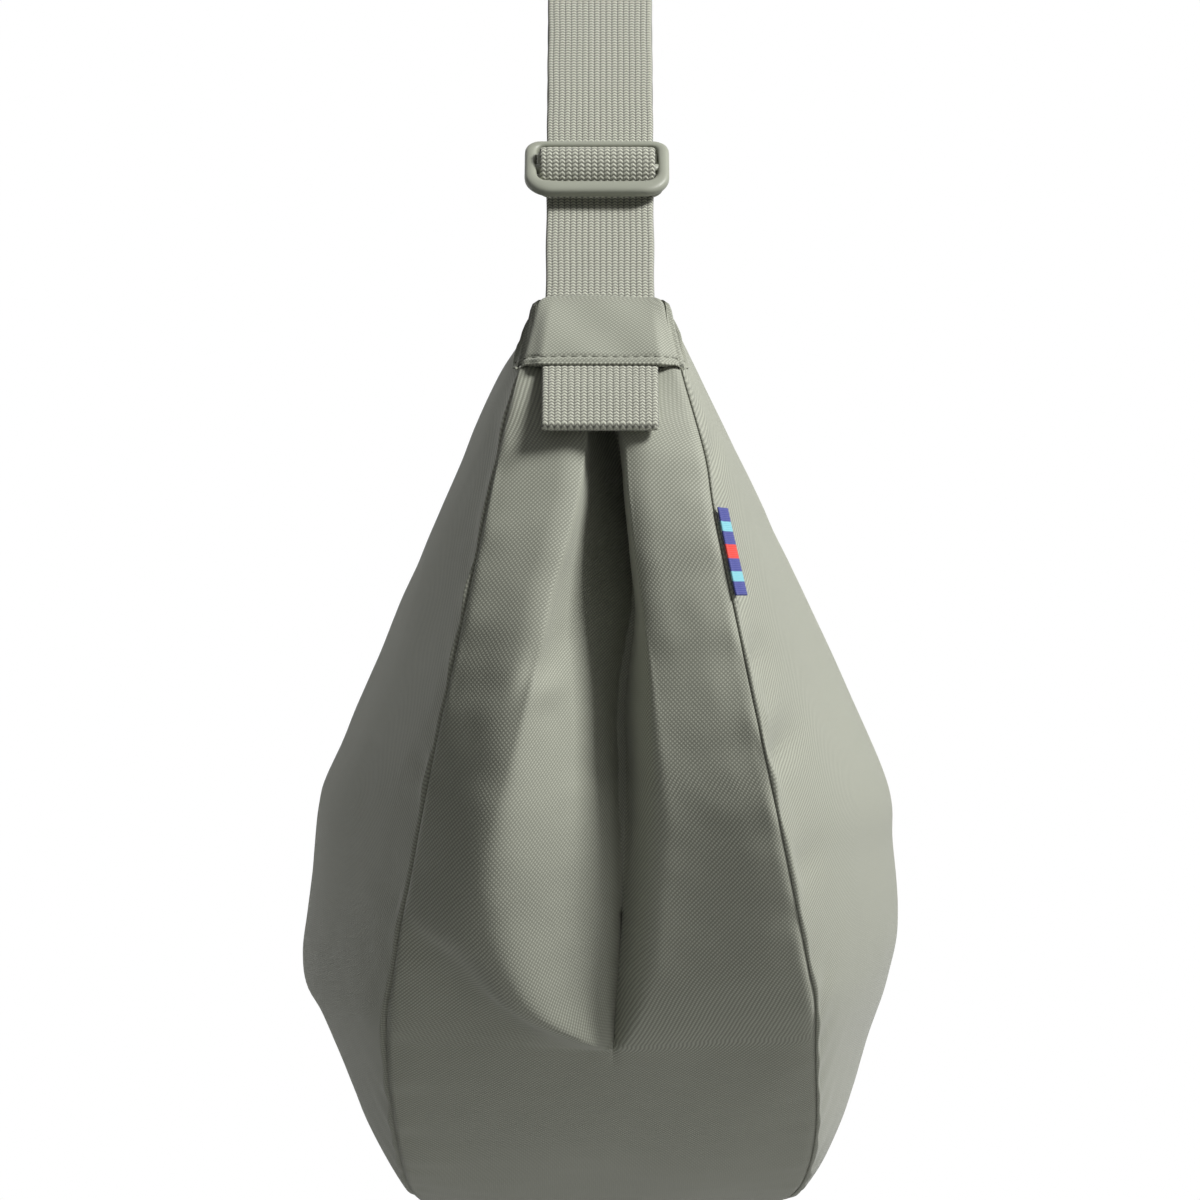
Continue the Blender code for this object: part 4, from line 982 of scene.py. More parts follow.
def stitch_tree():
    """Geometry nodes that lay a thread stitch at each step of a line."""
    graph, (line, pitch, length, width, thread) = new_tree(
        "thread_stitches", {"Pitch": 0.0034, "Stitch Length": 0.0025, "Thread Width": 0.0005},
        "Thread")
    curve = graph.node("GeometryNodeMeshToCurve", {}, {"Mesh": line})
    points = graph.node("GeometryNodeResampleCurve", {"mode": "LENGTH"},
                        {"Curve": curve, "Length": pitch})
    tangent = graph.node("GeometryNodeInputTangent")
    turn = graph.node("FunctionNodeAlignRotationToVector", {"axis": "X"}, {"Vector": tangent})
    ball = graph.node("GeometryNodeMeshUVSphere", {}, {"Segments": 8, "Rings": 6, "Radius": 0.5})
    size = graph.node("ShaderNodeCombineXYZ", {}, {0: length, 1: width, 2: width})
    stitches = graph.node("GeometryNodeInstanceOnPoints", {},
                          {"Points": points, "Instance": ball, "Rotation": turn, "Scale": size})
    return end_tree(graph, stitches, thread)


def coil_tree():
    """Geometry nodes that wind one side of a zip's coil along Y."""
    graph, (_, length, turns, wide, high, wire, nylon) = new_tree(
        "zip_coil", {"Length": 0.288, "Turns": 192.0, "Half Width": 0.001, "Half Height": 0.0007,
                     "Wire": 0.0003}, "Nylon")
    spiral = graph.node("GeometryNodeCurveSpiral", {},
                        {"Resolution": 10, "Rotations": turns, "Start Radius": 1.0,
                         "End Radius": 1.0, "Height": length})
    size = graph.node("ShaderNodeCombineXYZ", {}, {0: wide, 1: high, 2: 1.0})
    flat = graph.node("GeometryNodeTransform", {}, {"Geometry": spiral, "Scale": size})
    laid = graph.node("GeometryNodeTransform", {},
                      {"Geometry": flat, "Rotation": (math.pi / 2, 0, 0)})
    ring = graph.node("GeometryNodeCurvePrimitiveCircle", {}, {"Resolution": 5, "Radius": wire})
    mesh = graph.node("GeometryNodeCurveToMesh", {},
                      {"Curve": laid, "Profile Curve": ring, "Fill Caps": True})
    return end_tree(graph, mesh, nylon)


def grown(name, thing, tree, values):
    """Mesh object that a tree grows on a thing, with the tree's inputs set by name."""
    change = thing.modifiers.new(tree.name, "NODES")
    change.node_group = tree
    sockets = {item.name: item.identifier for item in tree.interface.items_tree
               if item.in_out == "INPUT"}
    for key, value in values.items():
        change[sockets[key]] = value
    thing.update_tag()
    graph = bpy.context.evaluated_depsgraph_get()
    mesh = bpy.data.meshes.new_from_object(thing.evaluated_get(graph))
    thing.modifiers.clear()
    bpy.data.objects.remove(thing)
    mesh.name = name
    return placed(name, mesh)


def line_object(runs):
    """Bare edges through runs of points."""
    vertices, edges = [], []
    for run in runs:
        base = len(vertices)
        vertices += [tuple(map(float, p)) for p in run]
        edges += [(base + k, base + k + 1) for k in range(len(run) - 1)]
    mesh = bpy.data.meshes.new("line")
    mesh.from_pydata(vertices, edges, [])
    return placed("line", mesh)


def sew(context, name, runs):
    """Row of stitches along each run of points."""
    sizes = context.scene.bag_sizes
    tree = bpy.data.node_groups.get("thread_stitches") or stitch_tree()
    return grown(name, line_object(runs), tree,
                 {"Pitch": sizes.stitch_pitch, "Stitch Length": sizes.stitch_length,
                  "Thread Width": sizes.thread_width, "Thread": finish_of(context, "thread")})


def settle(thing, body, slot, *nodes):
    """Let a piece ride on its body and stand for its nodes."""
    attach(thing, body)
    if nodes:
        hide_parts(*nodes)
    return thing


# Cloth pieces

def mitre(own, other):
    """Direction out of a seam that both of its surfaces share."""
    return (own + other) / (1 + (own * other).sum(axis=-1, keepdims=True))


def seam_directions(form, side, wanted):
    """Way out of the seam beside a panel, and the way from the gusset to the panel."""
    steps = np.linspace(0, 1, 241)
    grid = form.panel(steps, np.linspace(0, 1, 61) ** 0.9, side)
    own = grid_normals(grid, np.array([side, 0, 0]))[:, -2]
    shares = form.band_shares(steps)
    line = form.line_out(shares)
    out, apart = [np.stack([np.interp(wanted, shares, table[:, k]) for k in range(3)], axis=-1)
                  for table in (mitre(own, line), own - line)]
    return out, unit(apart)


def turn_in(edge, out, own, depths):
    """Columns that turn an edge into its seam."""
    return [(edge - out * deep + own * CLEARANCE)[:, None] for deep in depths]


def rolled(edge, toward, up, radius):
    """Rows that roll an edge over and under."""
    return [edge + toward * radius * math.sin(angle) - up * radius * (1 - math.cos(angle))
            for angle in np.linspace(0, math.pi, 7)[1:]]


def roll_edge(distance, deep, wide):
    """How far an edge sinks into its seam at a distance from it."""
    return deep * np.clip(1 - distance / wide, 0, 1) ** 2


def panel_creases(form, base, to_seam, side):
    """Height of the creases that run from the near seam into a side panel."""
    height = base[..., 2] - form.widest
    near = smooth_step((-base[..., 1] - CREASE_NEAR[0]) / CREASE_NEAR[1])
    creases = 0 * height
    for at_side, level, angle, reach, wide, rise in PANEL_CREASES:
        if at_side == side:
            tilt = math.radians(angle)
            drop = height - level / 1000
            off = (drop * math.cos(tilt) - to_seam * math.sin(tilt)) * 1000 / wide
            way = (to_seam * math.cos(tilt) + drop * math.sin(tilt)) * 1000 / reach
            start = smooth_step((to_seam - CREASE_START[0]) / CREASE_START[1])
            fade = start * (1 - smooth_step(way))
            creases = creases + rise / 1000 * np.exp(-off ** 2) * fade * near
    return creases


def panel_cloth(context, form, side):
    """One side panel with its hem at the zip and its turned edge at the gusset."""
    steps = np.linspace(0, 1, 301)
    rows = np.concatenate([np.linspace(0, 1, 131) ** 1.06 * 0.975,
                           0.975 + 0.025 * np.linspace(0, 1, 13)[1:] ** 0.8])
    base = form.panel(steps, rows, side)
    normals = grid_normals(base, np.array([side, 0, 0]))
    shares = form.band_shares(steps)
    to_zip = lengths_along(base, 1)
    to_seam = to_zip[:, -1:] - to_zip
    from_cap = lengths_along(base, 0)
    to_cap = np.minimum(from_cap, from_cap[-1:] - from_cap)
    place = np.stack([shares[:, None] * form.span + 0 * to_zip, to_seam], axis=-1)
    inside = smooth_step(to_seam / 0.02) * smooth_step(to_zip / 0.02)
    soft = waves("panel_soft", base[..., 1:], side) * inside
    fine = waves("panel_fine", base[..., 1:], side) * inside
    pucker = np.exp(-to_seam / 0.011) * smooth_step(to_seam / 0.003)
    pinch = waves("panel_pinch", place * np.array([1, 0.25]), side) * pucker
    hem = waves("panel_hem", place * np.array([1, 0.3]), side)
    hem = hem * np.exp(-to_zip / 0.010) * smooth_step(to_zip / 0.003)
    creases = panel_creases(form, base, to_seam, side)
    tuck = -CAP_TUCK * np.exp(-to_cap / CAP_TUCK_REACH) * smooth_step(to_seam / 0.0025)
    shape = base + normals * (soft + fine + pinch + hem + creases + tuck)[..., None]
    out, apart = seam_directions(form, side, shares)
    shape = shape - out[:, None] * roll_edge(to_seam, *PANEL_ROLLS[side])[..., None]
    turned = turn_in(shape[:, -1], out, apart, SEAM_TURNS)
    toward, up = unit(shape[:, 0] - shape[:, 1]), normals[:, 0]
    hem_rows = rolled(shape[:, 0], toward, up, HEM_RADIUS)
    hem_rows.append(shape[:, 0] - toward * HEM_UNDER[0] - up * HEM_UNDER[1])
    outer = np.concatenate([np.stack(hem_rows[::-1], axis=1), shape] + turned, axis=1)
    inner = repeated(shape - normals * CLOTH * 1.9, (0, 0), (len(hem_rows), len(turned)))
    inner[:, :len(hem_rows)] -= (up * INNER_UNDER[1] + toward * INNER_UNDER[0])[:, None]
    uvs = np.stack([base[..., 1], -to_zip], axis=-1)
    uvs = repeated(uvs, (0, 0), (len(hem_rows), len(turned)))
    uvs[:, -len(turned):, 1] -= SEAM_TURNS
    return shell(f"{SIDES[side]}_panel_cloth", outer, inner, uvs, finish_of(context, "cloth"))


def gusset_shape(form, shares):
    """Outer face of the gusset with its folded pleats, and each point's share across it."""
    shares = np.asarray(shares)[:, None]
    y, height, out_y, out_z = form.line_at(shares)
    valley = form.pleat(height, VALLEYS)
    folds = [-np.ones_like(height), form.pleat(height, BACK_FOLDS), valley,
             form.pleat(height, FRONT_FOLDS), np.ones_like(height)]
    columns, marks = [], []
    for index, count in enumerate(FOLD_CELLS):
        for part in np.arange(count) / count:
            columns.append(folds[index] * (1 - part) + folds[index + 1] * part)
            marks.append(index + part)
    across = np.concatenate(columns + [folds[-1]], axis=1)
    mark = np.array(marks + [4.0])[None, :] + 0 * across
    half_back, half_front = form.seam_half(shares, -1), form.seam_half(shares, 1)
    half = np.where(across < 0, half_back, half_front)
    x = across * half
    from_cap = smooth_step((np.minimum(shares, 1 - shares) - form.cap_share) / form.cap_share)
    deep = form.pleat(height, PLEAT_DEPTHS)
    low, upper, turned, closing = [smooth_step((height - start) / tall)
                                   for start, tall in PLEAT_FADES]
    soft = 0.03 + 0.17 * low
    slope = np.clip(1 - np.abs(mark - 2), 0, 1)
    slope = slope ** np.where(mark < 2, 1 - 0.45 * turned, 1.7 - 0.9 * upper)
    slope = (np.sqrt(slope ** 2 + soft ** 2) - soft) / (np.sqrt(1 + soft ** 2) - soft)
    close = 1 + 10 * closing
    rising = np.sin(np.clip(mark, 0, 1) * math.pi / 2) ** close
    falling = np.sin(np.clip(4 - mark, 0, 1) * math.pi / 2)
    left = np.where(mark < 1, rising, 1 - slope) * (mark < 2)
    right = np.where(mark > 3, falling, 1 - slope) * (mark > 2)
    lift = (form.crown * (1 - across ** 2) * from_cap - slope * deep
            + left * form.pleat(height, BACK_RIDGES) + right * form.pleat(height, FRONT_RIDGES))
    for at_x, at_height, rise, wide, tall, lean in FOLD_DIMPLES:
        gap_x = (x - at_x - (height - at_height) * 0.45 * lean) / wide
        gap_z = (height - at_height) / tall
        lift = lift + rise * np.exp(-gap_x ** 2 - gap_z ** 2)
    fold_roll = FOLD_ROLL * np.clip(deep / 0.02, 0, 1) * (1 - low)
    for fold in (folds[1], folds[3]):
        away = np.abs(across - fold) * half
        lift = lift - fold_roll * np.clip(1 - away / FOLD_ROLL_REACH, 0, 1) ** 2 * (slope <= 0)
    lift = lift - fold_roll * (slope > 0)
    gap = (x - valley * half_front) / CREVICE_REACH
    lift = lift - form.pleat(height, PLEAT_CREVICES) * np.exp(-(gap - 0.35) ** 2)
    x = x + slope ** 1.5 * deep * 0.22 * (1 - low)
    z = np.maximum(form.widest + height + out_z * lift, form.base)
    return np.stack([x, y + out_y * lift, z + 0 * x], axis=-1), across


def gusset_cloth(context, form):
    """The band round the ends and the bottom, folded into a pleat below each cap."""
    steps = np.concatenate([np.linspace(0, 0.42, 244), np.linspace(0.42, 0.64, 44)[1:],
                            np.linspace(0.64, 1, 140)[1:]])
    shares = form.band_shares(steps)
    base, across = gusset_shape(form, shares)
    normals = grid_normals(base, form.line_out(shares)[:, None])
    run = lengths_along(base, 1)
    to_seams = {-1: run, 1: run[:, -1:] - run}
    near_seam = np.minimum(to_seams[-1], to_seams[1])
    middle = np.argmin(np.abs(across[0]))
    u = run - run[:, middle:middle + 1]
    v = shares[:, None] * form.span + 0 * u
    place = np.stack([v, u], axis=-1)
    inside = smooth_step(near_seam / 0.015)
    soft = waves("gusset_soft", place * np.array([1, 1.6])) * inside
    fine = waves("gusset_fine", place) * inside
    pucker = np.exp(-near_seam / 0.010) * smooth_step(near_seam / 0.003)
    pinch = waves("gusset_pinch", place * np.array([1, 0.25])) * pucker
    keep = smooth_step((np.minimum(shares, 1 - shares) - form.cap_share)[:, None] / 0.03)
    shape = base + normals * ((soft + fine + pinch) * keep)[..., None]
    seams = {side: seam_directions(form, side, shares) for side in (-1, 1)}
    for side, (out, _) in seams.items():
        shape = shape - out[:, None] * roll_edge(to_seams[side], *GUSSET_ROLLS[side])[..., None]
    back, front = [turn_in(shape[:, column], seams[side][0], -seams[side][1], SEAM_TURNS)
                   for side, column in ((-1, 0), (1, -1))]
    outer = np.concatenate(back[::-1] + [shape] + front, axis=1)
    count = len(SEAM_TURNS)
    inner = repeated(shape - normals * CLOTH, (0, 0), (count, count))
    uvs = repeated(np.stack([u, -v], axis=-1), (0, 0), (count, count))
    uvs[:, :count, 0] -= SEAM_TURNS[::-1]
    uvs[:, -count:, 0] += SEAM_TURNS
    return shell("gusset_cloth", outer, inner, uvs, finish_of(context, "cloth"))


def cap_edge(grid, normals, lift):
    """Rows that fold a cap's lower edge round and under, from inside to its first row."""
    down = unit(grid[0] - grid[1])
    return np.stack([grid[0] + normals[0] * (lift / 2 * (1 + math.cos(angle)) - CAP_HEM_TUCK)
                     + down * CAP_HEM_REACH * math.sin(angle)
                     for angle in np.linspace(math.pi, 0, 8)[:-1]])


def cap_lift(distance, proud):
    """Height of a cap over the cloth below it, with a stitched dip and a welt at its edge."""
    dip = np.exp(-((distance - CAP_STITCH_INSET) / DIP[1]) ** 2)
    welt = np.exp(-((distance - WELT_INSET) / WELT[1]) ** 2)
    even = proud * (1 - 0.75 * smooth_step(distance / CAP_REACH))
    return even + WELT[0] * welt - DIP[0] * dip


def end_cap_grid(form, rows=64, columns=96):
    """Outer face of the near end cap, and the gusset's directions below it."""
    level = np.linspace(0, 1, rows)
    shares = form.cap_share * (1 - level)
    across = np.linspace(-1, 1, columns)[None, :]
    y, height, _, out_z = [v[:, None] for v in form.line_at(shares)]
    halves = [form.seam_half(shares, side)[:, None] for side in (-1, 1)]
    x = across * np.where(across < 0, *halves)
    lip = 1 - smooth_step((level - 0.16) / 0.84)
    swell = END_CAP_SWELL * lip[:, None] * smooth_step((1 - np.abs(across)) / 0.30) ** 2.5
    grid = np.stack([x, y - swell, form.widest + height + 0.1 * out_z * swell], axis=-1)
    return grid, form.line_out(shares)


def tip_caps(context, form, far):
    """The three cloth caps over one tip, and the stitch lines above their lower edges."""
    flip = np.array([1, -1 if far else 1, 1])
    tip = "far" if far else "near"
    skin = finish_of(context, "cloth")
    turns = len(CAP_TURNS)
    end, line = end_cap_grid(form)
    end_normals = grid_normals(end, line[:, None])
    runs, pieces, rims = [], [], {}
    for side, column in ((1, -1), (-1, 0)):
        body = form.side_cap(np.linspace(0, 1, 64), np.linspace(0, 1, 72), side)
        normals = grid_normals(body, np.array([side, -0.4, 0.2]))
        out = mitre(normals[:, -1], end_normals[:, column])
        apart = unit(normals[:, -1] - end_normals[:, column])
        rims[side] = (out, apart)
        run, rise = lengths_along(body, 1), lengths_along(body, 0)
        to_seam = run[:, -1:] - run
        shape = body + normals * cap_lift(rise, CAP_PROUD["side"])[..., None]
        shape = shape + normals * waves("side_cap", body, side)[..., None]
        shape = shape - out[:, None] * roll_edge(to_seam, *CAP_ROLL)[..., None]
        row = np.argmin(np.abs(rise[:, 30] - CAP_STITCH_INSET))
        runs.append((shape[row, 3:-5] + normals[4, 3:-5] * THREAD_LIFT) * flip)
        lower = cap_edge(shape, normals, CAP_HEM["side"])
        count = (len(lower), 0)
        shape = np.concatenate([lower, shape])
        shape = np.concatenate([shape] + turn_in(shape[:, -1], repeated(out, count),
                                                 repeated(apart, count), CAP_TURNS), axis=1)
        inner = repeated(body - normals * CLOTH, count, (0, turns))
        uvs = repeated(np.stack([-side * to_seam, rise], axis=-1), count, (0, turns))
        node = f"{tip}_{SIDES[side]}_cap"
        pieces.append((shell(node + "_cloth", shape * flip, inner * flip, uvs, skin, 6), node))
    run, rise = lengths_along(end, 1), lengths_along(end, 0)
    to_seams = {1: run[:, -1:] - run, -1: run}
    soft = waves("end_cap", end) * smooth_step(np.minimum(to_seams[-1], to_seams[1]) / 0.008)
    shape = end + end_normals * cap_lift(rise, CAP_PROUD["end"])[..., None]
    shape = shape + end_normals * (soft * smooth_step(rise / 0.006))[..., None]
    for side, (out, _) in rims.items():
        shape = shape - out[:, None] * roll_edge(to_seams[side], *CAP_ROLL)[..., None]
    row = np.argmin(np.abs(rise[:, 48] - CAP_STITCH_INSET))
    runs.append((shape[row, 4:-4] + end_normals[row, 4:-4] * THREAD_LIFT) * flip)
    lower = cap_edge(shape, end_normals, CAP_HEM["end"])
    upper = rolled(shape[-1], unit(shape[-1] - shape[-2]), end_normals[-1], CAP_TOP_RADIUS)
    count = (len(lower), len(upper))
    shape = np.concatenate([lower, shape, np.stack(upper)])
    back, front = [turn_in(shape[:, column], repeated(rims[side][0], count),
                           repeated(-rims[side][1], count), CAP_TURNS)
                   for side, column in ((-1, 0), (1, -1))]
    shape = np.concatenate(back[::-1] + [shape] + front, axis=1)
    inner = repeated(end - end_normals * CLOTH, count, (turns, turns))
    uvs = repeated(np.stack([run - run[0, -1] / 2, rise], axis=-1), count, (turns, turns))
    node = f"{tip}_end_cap"
    pieces.append((shell(node + "_cloth", shape * flip, inner * flip, uvs, skin, 6), node))
    return pieces, runs


# Strap

def loop_round(form, along, above, radius, far, up):
    """Half turn of webbing round a bar across the strap."""
    turn = radius if up else -radius
    return [form.branch(along + math.sin(angle) * turn, above + math.cos(angle) * radius, far)
            for angle in np.linspace(0, math.pi, 16)]


def tab_path(form):
    """Path of a folded tab out of a cap's lower seam."""
    y, height, out_y, out_z = (float(v) for v in form.line_at(form.cap_share))
    fold = WEB / 2 + CLEARANCE
    path = [(-0.004, fold - 0.0014), (0, fold - 0.0012),
            (TAB_DROP / 2, fold + TAB_STAND * 0.55), (TAB_DROP - fold, fold + TAB_STAND)]
    foot, base = path[-1]
    turn = [(foot + math.sin(a) * fold, base + fold * (1 - math.cos(a)))
            for a in np.linspace(0, math.pi, 12)[1:-1]]
    path = path + turn + [(d, lift + 2 * fold) for d, lift in reversed(path)]
    return [(y + lift * out_y - d * out_z, form.widest + height + lift * out_z + d * out_y)
            for d, lift in path]


# Settings that a user may change

def length_property(name, description, default):
    """Length setting in metres."""
    return bpy.props.FloatProperty(name=name, description=description, default=default,
                                   unit="LENGTH")


def colour_property(name, description, default):
    """Colour setting with a linear red, green and blue."""
    return bpy.props.FloatVectorProperty(name=name, description=description, default=default,
                                         subtype="COLOR", size=3, min=0.0, max=1.0)


class BAG_PG_sizes(bpy.types.PropertyGroup):
    """Sizes of the bag"""
    bag_length: length_property("Bag length", "Length of the bag along its zip", 0.496)
    base_depth: length_property("Base depth", "Depth below the longest level", 0.193)
    shoulder_rise: length_property("Shoulder rise", "Rise of the upper outline", 0.222)
    tip_spread_share: bpy.props.FloatProperty(
        name="Tip spread share", description="Distance between the tips over the length",
        default=0.7742, subtype="FACTOR", min=0.5, max=0.95)
    gusset_tip_half: length_property("Gusset tip half", "Half width of the gusset at the tips",
                                     0.022)
    gusset_base_half: length_property("Gusset base half", "Half width of the gusset at the base",
                                      0.073)
    gusset_flare_share: bpy.props.FloatProperty(
        name="Gusset flare share", description="How fast the gusset widens downwards",
        default=0.21, subtype="FACTOR")
    gusset_crown: length_property("Gusset crown", "Bulge of the gusset between its seams", 0.004)
    web_width: length_property("Webbing width", "Width of the strap's webbing", 0.038)
    tab_width: length_property("Tab width", "Width of the webbing tabs", 0.040)
    rib_count: bpy.props.IntProperty(name="Ribs", default=18, min=4,
                                     description="Ribs across the webbing")
    stitch_pitch: length_property("Stitch pitch", "Distance from stitch to stitch", 0.0034)
    stitch_length: length_property("Stitch length", "Length of one stitch", 0.0026)
    thread_width: length_property("Thread width", "Width of the sewing thread", 0.00075)


class BAG_PG_looks(bpy.types.PropertyGroup):
    """Colours and weaves of the bag"""
    cloth_colour: colour_property("Cloth", "Sage cloth", (0.340, 0.350, 0.285))
    webbing_colour: colour_property("Webbing", "Sage webbing", (0.480, 0.486, 0.402))
    plastic_colour: colour_property("Plastic", "Moulded slider and ring", (0.300, 0.312, 0.252))
    thread_colour: colour_property("Thread", "Sewing thread", (0.200, 0.205, 0.165))
    tape_colour: colour_property("Zip tape", "Zip tape and coil", (0.280, 0.290, 0.230))
    metal_colour: colour_property("Zip metal", "Painted zip metal", (0.330, 0.335, 0.290))
    label_navy: colour_property("Label navy", "Dark bands of the side label", (0.030, 0.040, 0.260))
    label_pale: colour_property("Label pale", "Pale bands of the side label", (0.200, 0.560, 0.640))
    label_red: colour_property("Label red", "Red band of the side label", (0.740, 0.030, 0.015))
    twill_pitch: length_property("Twill pitch", "Distance between the cloth's diagonal lines",
                                 0.00105)
    loop_pitch: length_property("Loop pitch", "Distance between the webbing's rows of loops",
                                0.00142)


class BAG_PG_stage(bpy.types.PropertyGroup):
    """Camera, lights and floor"""
    eye_distance: length_property("Eye distance", "Distance of the camera from the bag's middle",
                                  2.2)
    eye_above: length_property("Eye above widest level",
                               "Height of the camera over the longest level", 0.035)
    lens: bpy.props.FloatProperty(name="Lens", default=172.98,
                                  description="Focal length in millimetres")
    key_power: bpy.props.FloatProperty(name="Key power", default=67.0, unit="POWER",
                                       description="Power of the main light")
    low_power: bpy.props.FloatProperty(name="Low power", default=6.0, unit="POWER",
                                       description="Power of the weak light below the bag")
    fill_level: bpy.props.FloatProperty(name="Fill level", default=0.103, subtype="FACTOR",
                                        description="Brightness of the light from all around")
    floor_drop: length_property("Floor drop", "Distance from the bag's base to the floor", 0.45)


# Operators

class BAG_OT_panels(bpy.types.Operator):
    """Sew the front and back panels"""
    bl_idname = "bag.panels"
    bl_label = "Side panels"

    def execute(self, context):
        form = BagForm(context.scene.bag_sizes)
        for side, name in SIDES.items():
            settle(panel_cloth(context, form, side), "bag", "cloth", name + "_panel")
        return {"FINISHED"}


class BAG_OT_gusset(bpy.types.Operator):
    """Fold and sew the gusset"""
    bl_idname = "bag.gusset"
    bl_label = "Gusset"

    def execute(self, context):
        form = BagForm(context.scene.bag_sizes)
        settle(gusset_cloth(context, form), "bag", "cloth", "gusset")
        return {"FINISHED"}


class BAG_OT_caps(bpy.types.Operator):
    """Sew the caps over both tips"""
    bl_idname = "bag.caps"
    bl_label = "End and side caps"

    def execute(self, context):
        form = BagForm(context.scene.bag_sizes)
        for tip in ("near", "far"):
            pieces, runs = tip_caps(context, form, tip == "far")
            for piece, node in pieces:
                settle(piece, "bag", "cloth", node)
            settle(sew(context, tip + "_cap_stitches", runs), "bag", "cloth")
        return {"FINISHED"}


class BAG_OT_tabs(bpy.types.Operator):
    """Fold the webbing tabs below the caps"""
    bl_idname = "bag.tabs"
    bl_label = "Tabs"

    def execute(self, context):
        sizes = context.scene.bag_sizes
        path = rounded_path(tab_path(BagForm(sizes)), 0.003)
        for far, name in ((1, "near"), (-1, "far")):
            tab = webbing(name + "_tab_webbing", [(far * y, z) for y, z in path], sizes.tab_width,
                          finish_of(context, "webbing"), sizes.rib_count, WEB_STEPS["tab"])
            settle(tab, "bag", "webbing", name + "_tab")
        return {"FINISHED"}


class BAG_OT_strap(bpy.types.Operator):
    """Lay the strap's webbing from tip to tip, and its return to the slider"""
    bl_idname = "bag.strap"
    bl_label = "Strap webbing"

    def execute(self, context):
        sizes = context.scene.bag_sizes
        form = BagForm(sizes)
        look = (finish_of(context, "webbing"), sizes.rib_count)
        wrap = RING_BAR / 2 + CLEARANCE + WEB / 2
        upper = RING_ALONG + RING_HEIGHT / 2 - RING_BAR / 2
        lower = RING_ALONG - RING_HEIGHT / 2 + RING_BAR / 2
        path = [form.branch(-STUB_DEPTH, 0), form.branch(SLIDER_ALONG, 0)] + form.arch(RUN_RADIUS)
        path += loop_round(form, upper, -wrap, wrap, True, False)
        path += [form.branch(upper + RING_BAR, -wrap * 2, True),
                 form.branch(upper + 0.030, -LAYER_STEP, True)]
        path += form.arch(RETURN_RADIUS)[::-1]
        strap = webbing("strap_webbing", path, sizes.web_width, *look, WEB_STEPS["strap"])
        start, end = (0, 0, form.pivot - GIVE_BELOW), (0, 0, form.pivot + GIVE_ABOVE)
        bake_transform(strap)
        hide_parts("shoulder_strap", "near_strap_stub")
        top = form.arch(RETURN_RADIUS)[0]
        foot = form.branch(SLIDER_ALONG - RETURN_FOOT, -LAYER_STEP)
        back = webbing("return_webbing", [top, foot], sizes.web_width, *look, WEB_STEPS["strap"])
        settle(back, "strap", "webbing")
        reach = math.dist(top, foot)
        travel = next(j for j in frame["joints"] if j["name"] == "slider_slide")["range_m"][1]
        (reach - travel) / reach
        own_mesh(back)
        path = [form.branch(-STUB_DEPTH, 0, True), form.branch(lower - RING_BAR, 0, True)]
        path += loop_round(form, lower, -wrap, wrap, True, True)
        path += [form.branch(lower - RING_BAR * 0.8, -wrap * 2, True),
                 form.branch(lower - RING_BAR * 2.5, -LAYER_STEP, True),
                 form.branch(RING_STRAP_END, -LAYER_STEP, True)]
        short = webbing("ring_strap_webbing", path, sizes.web_width, *look, WEB_STEPS["ring"])
        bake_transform(short)
        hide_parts("ring_strap", "far_strap_stub")
        high = SLIDER_THICK / 2 + WRAP_OVER_BAR
        path = [form.branch(SLIDER_ALONG + WRAP_ENDS[0], LAYER_STEP)]
        for angle in np.linspace(0, math.pi, 26)[1:-1]:
            late = math.pi * (angle / math.pi) ** 1.5
            path.append(form.branch(SLIDER_ALONG + WRAP_MIDDLE - WRAP_REACH * math.cos(angle),
                                    LAYER_STEP + high * math.sin(late) ** 0.8))
        path.append(form.branch(SLIDER_ALONG + WRAP_ENDS[1], LAYER_STEP))
        roll = webbing("slider_wrap_webbing", path, sizes.web_width + WRAP_SPARE, *look,
                       WEB_STEPS["wrap"], shift=WRAP_SHIFT)
        settle(roll, "slider", "webbing", "slider_wrap")
        return {"FINISHED"}


class BAG_OT_fittings(bpy.types.Operator):
    """Mould the strap's slider and ring"""
    bl_idname = "bag.fittings"
    bl_label = "Slider and ring"

    def execute(self, context):
        form = BagForm(context.scene.bag_sizes)
        skin = finish_of(context, "plastic")
        ring = frame_ring(SLIDER_WIDTH, SLIDER_HEIGHT, FRAME_SIDE, SLIDER_BARS, SLIDER_CORNERS,
                          SLIDER_THICK)
        points, faces = join_parts([ring, bar(SLIDER_WIDTH - BAR_SHORT, MIDDLE_BAR, MIDDLE_BAR)])
        points = np.stack([points[:, 0], points[:, 1] * SLIDER_STRETCH,
                           points[:, 2] - points[:, 1] * SLIDER_TILT], axis=1) + SLIDER_SHIFT
        lift = WEB / 2 + CLEARANCE + SLIDER_THICK / 2
        points = on_branch(form, points, SLIDER_ALONG, lift, False)
        slider = add_mesh("slider_moulding", points, faces, None, [skin])
        settle(slider, "slider", "moulded_plastic", "strap_slider")
        points, faces = frame_ring(SLIDER_WIDTH, RING_HEIGHT, FRAME_SIDE, (RING_BAR, RING_BAR),
                                   RING_CORNERS, RING_BAR, power=2.1)
        points = on_branch(form, points, RING_ALONG, -(RING_BAR / 2 + CLEARANCE + WEB / 2), True)
        loop = add_mesh("ring_moulding", points, faces, None, [skin])
        settle(loop, "strap", "moulded_plastic", "strap_ring")
        return {"FINISHED"}


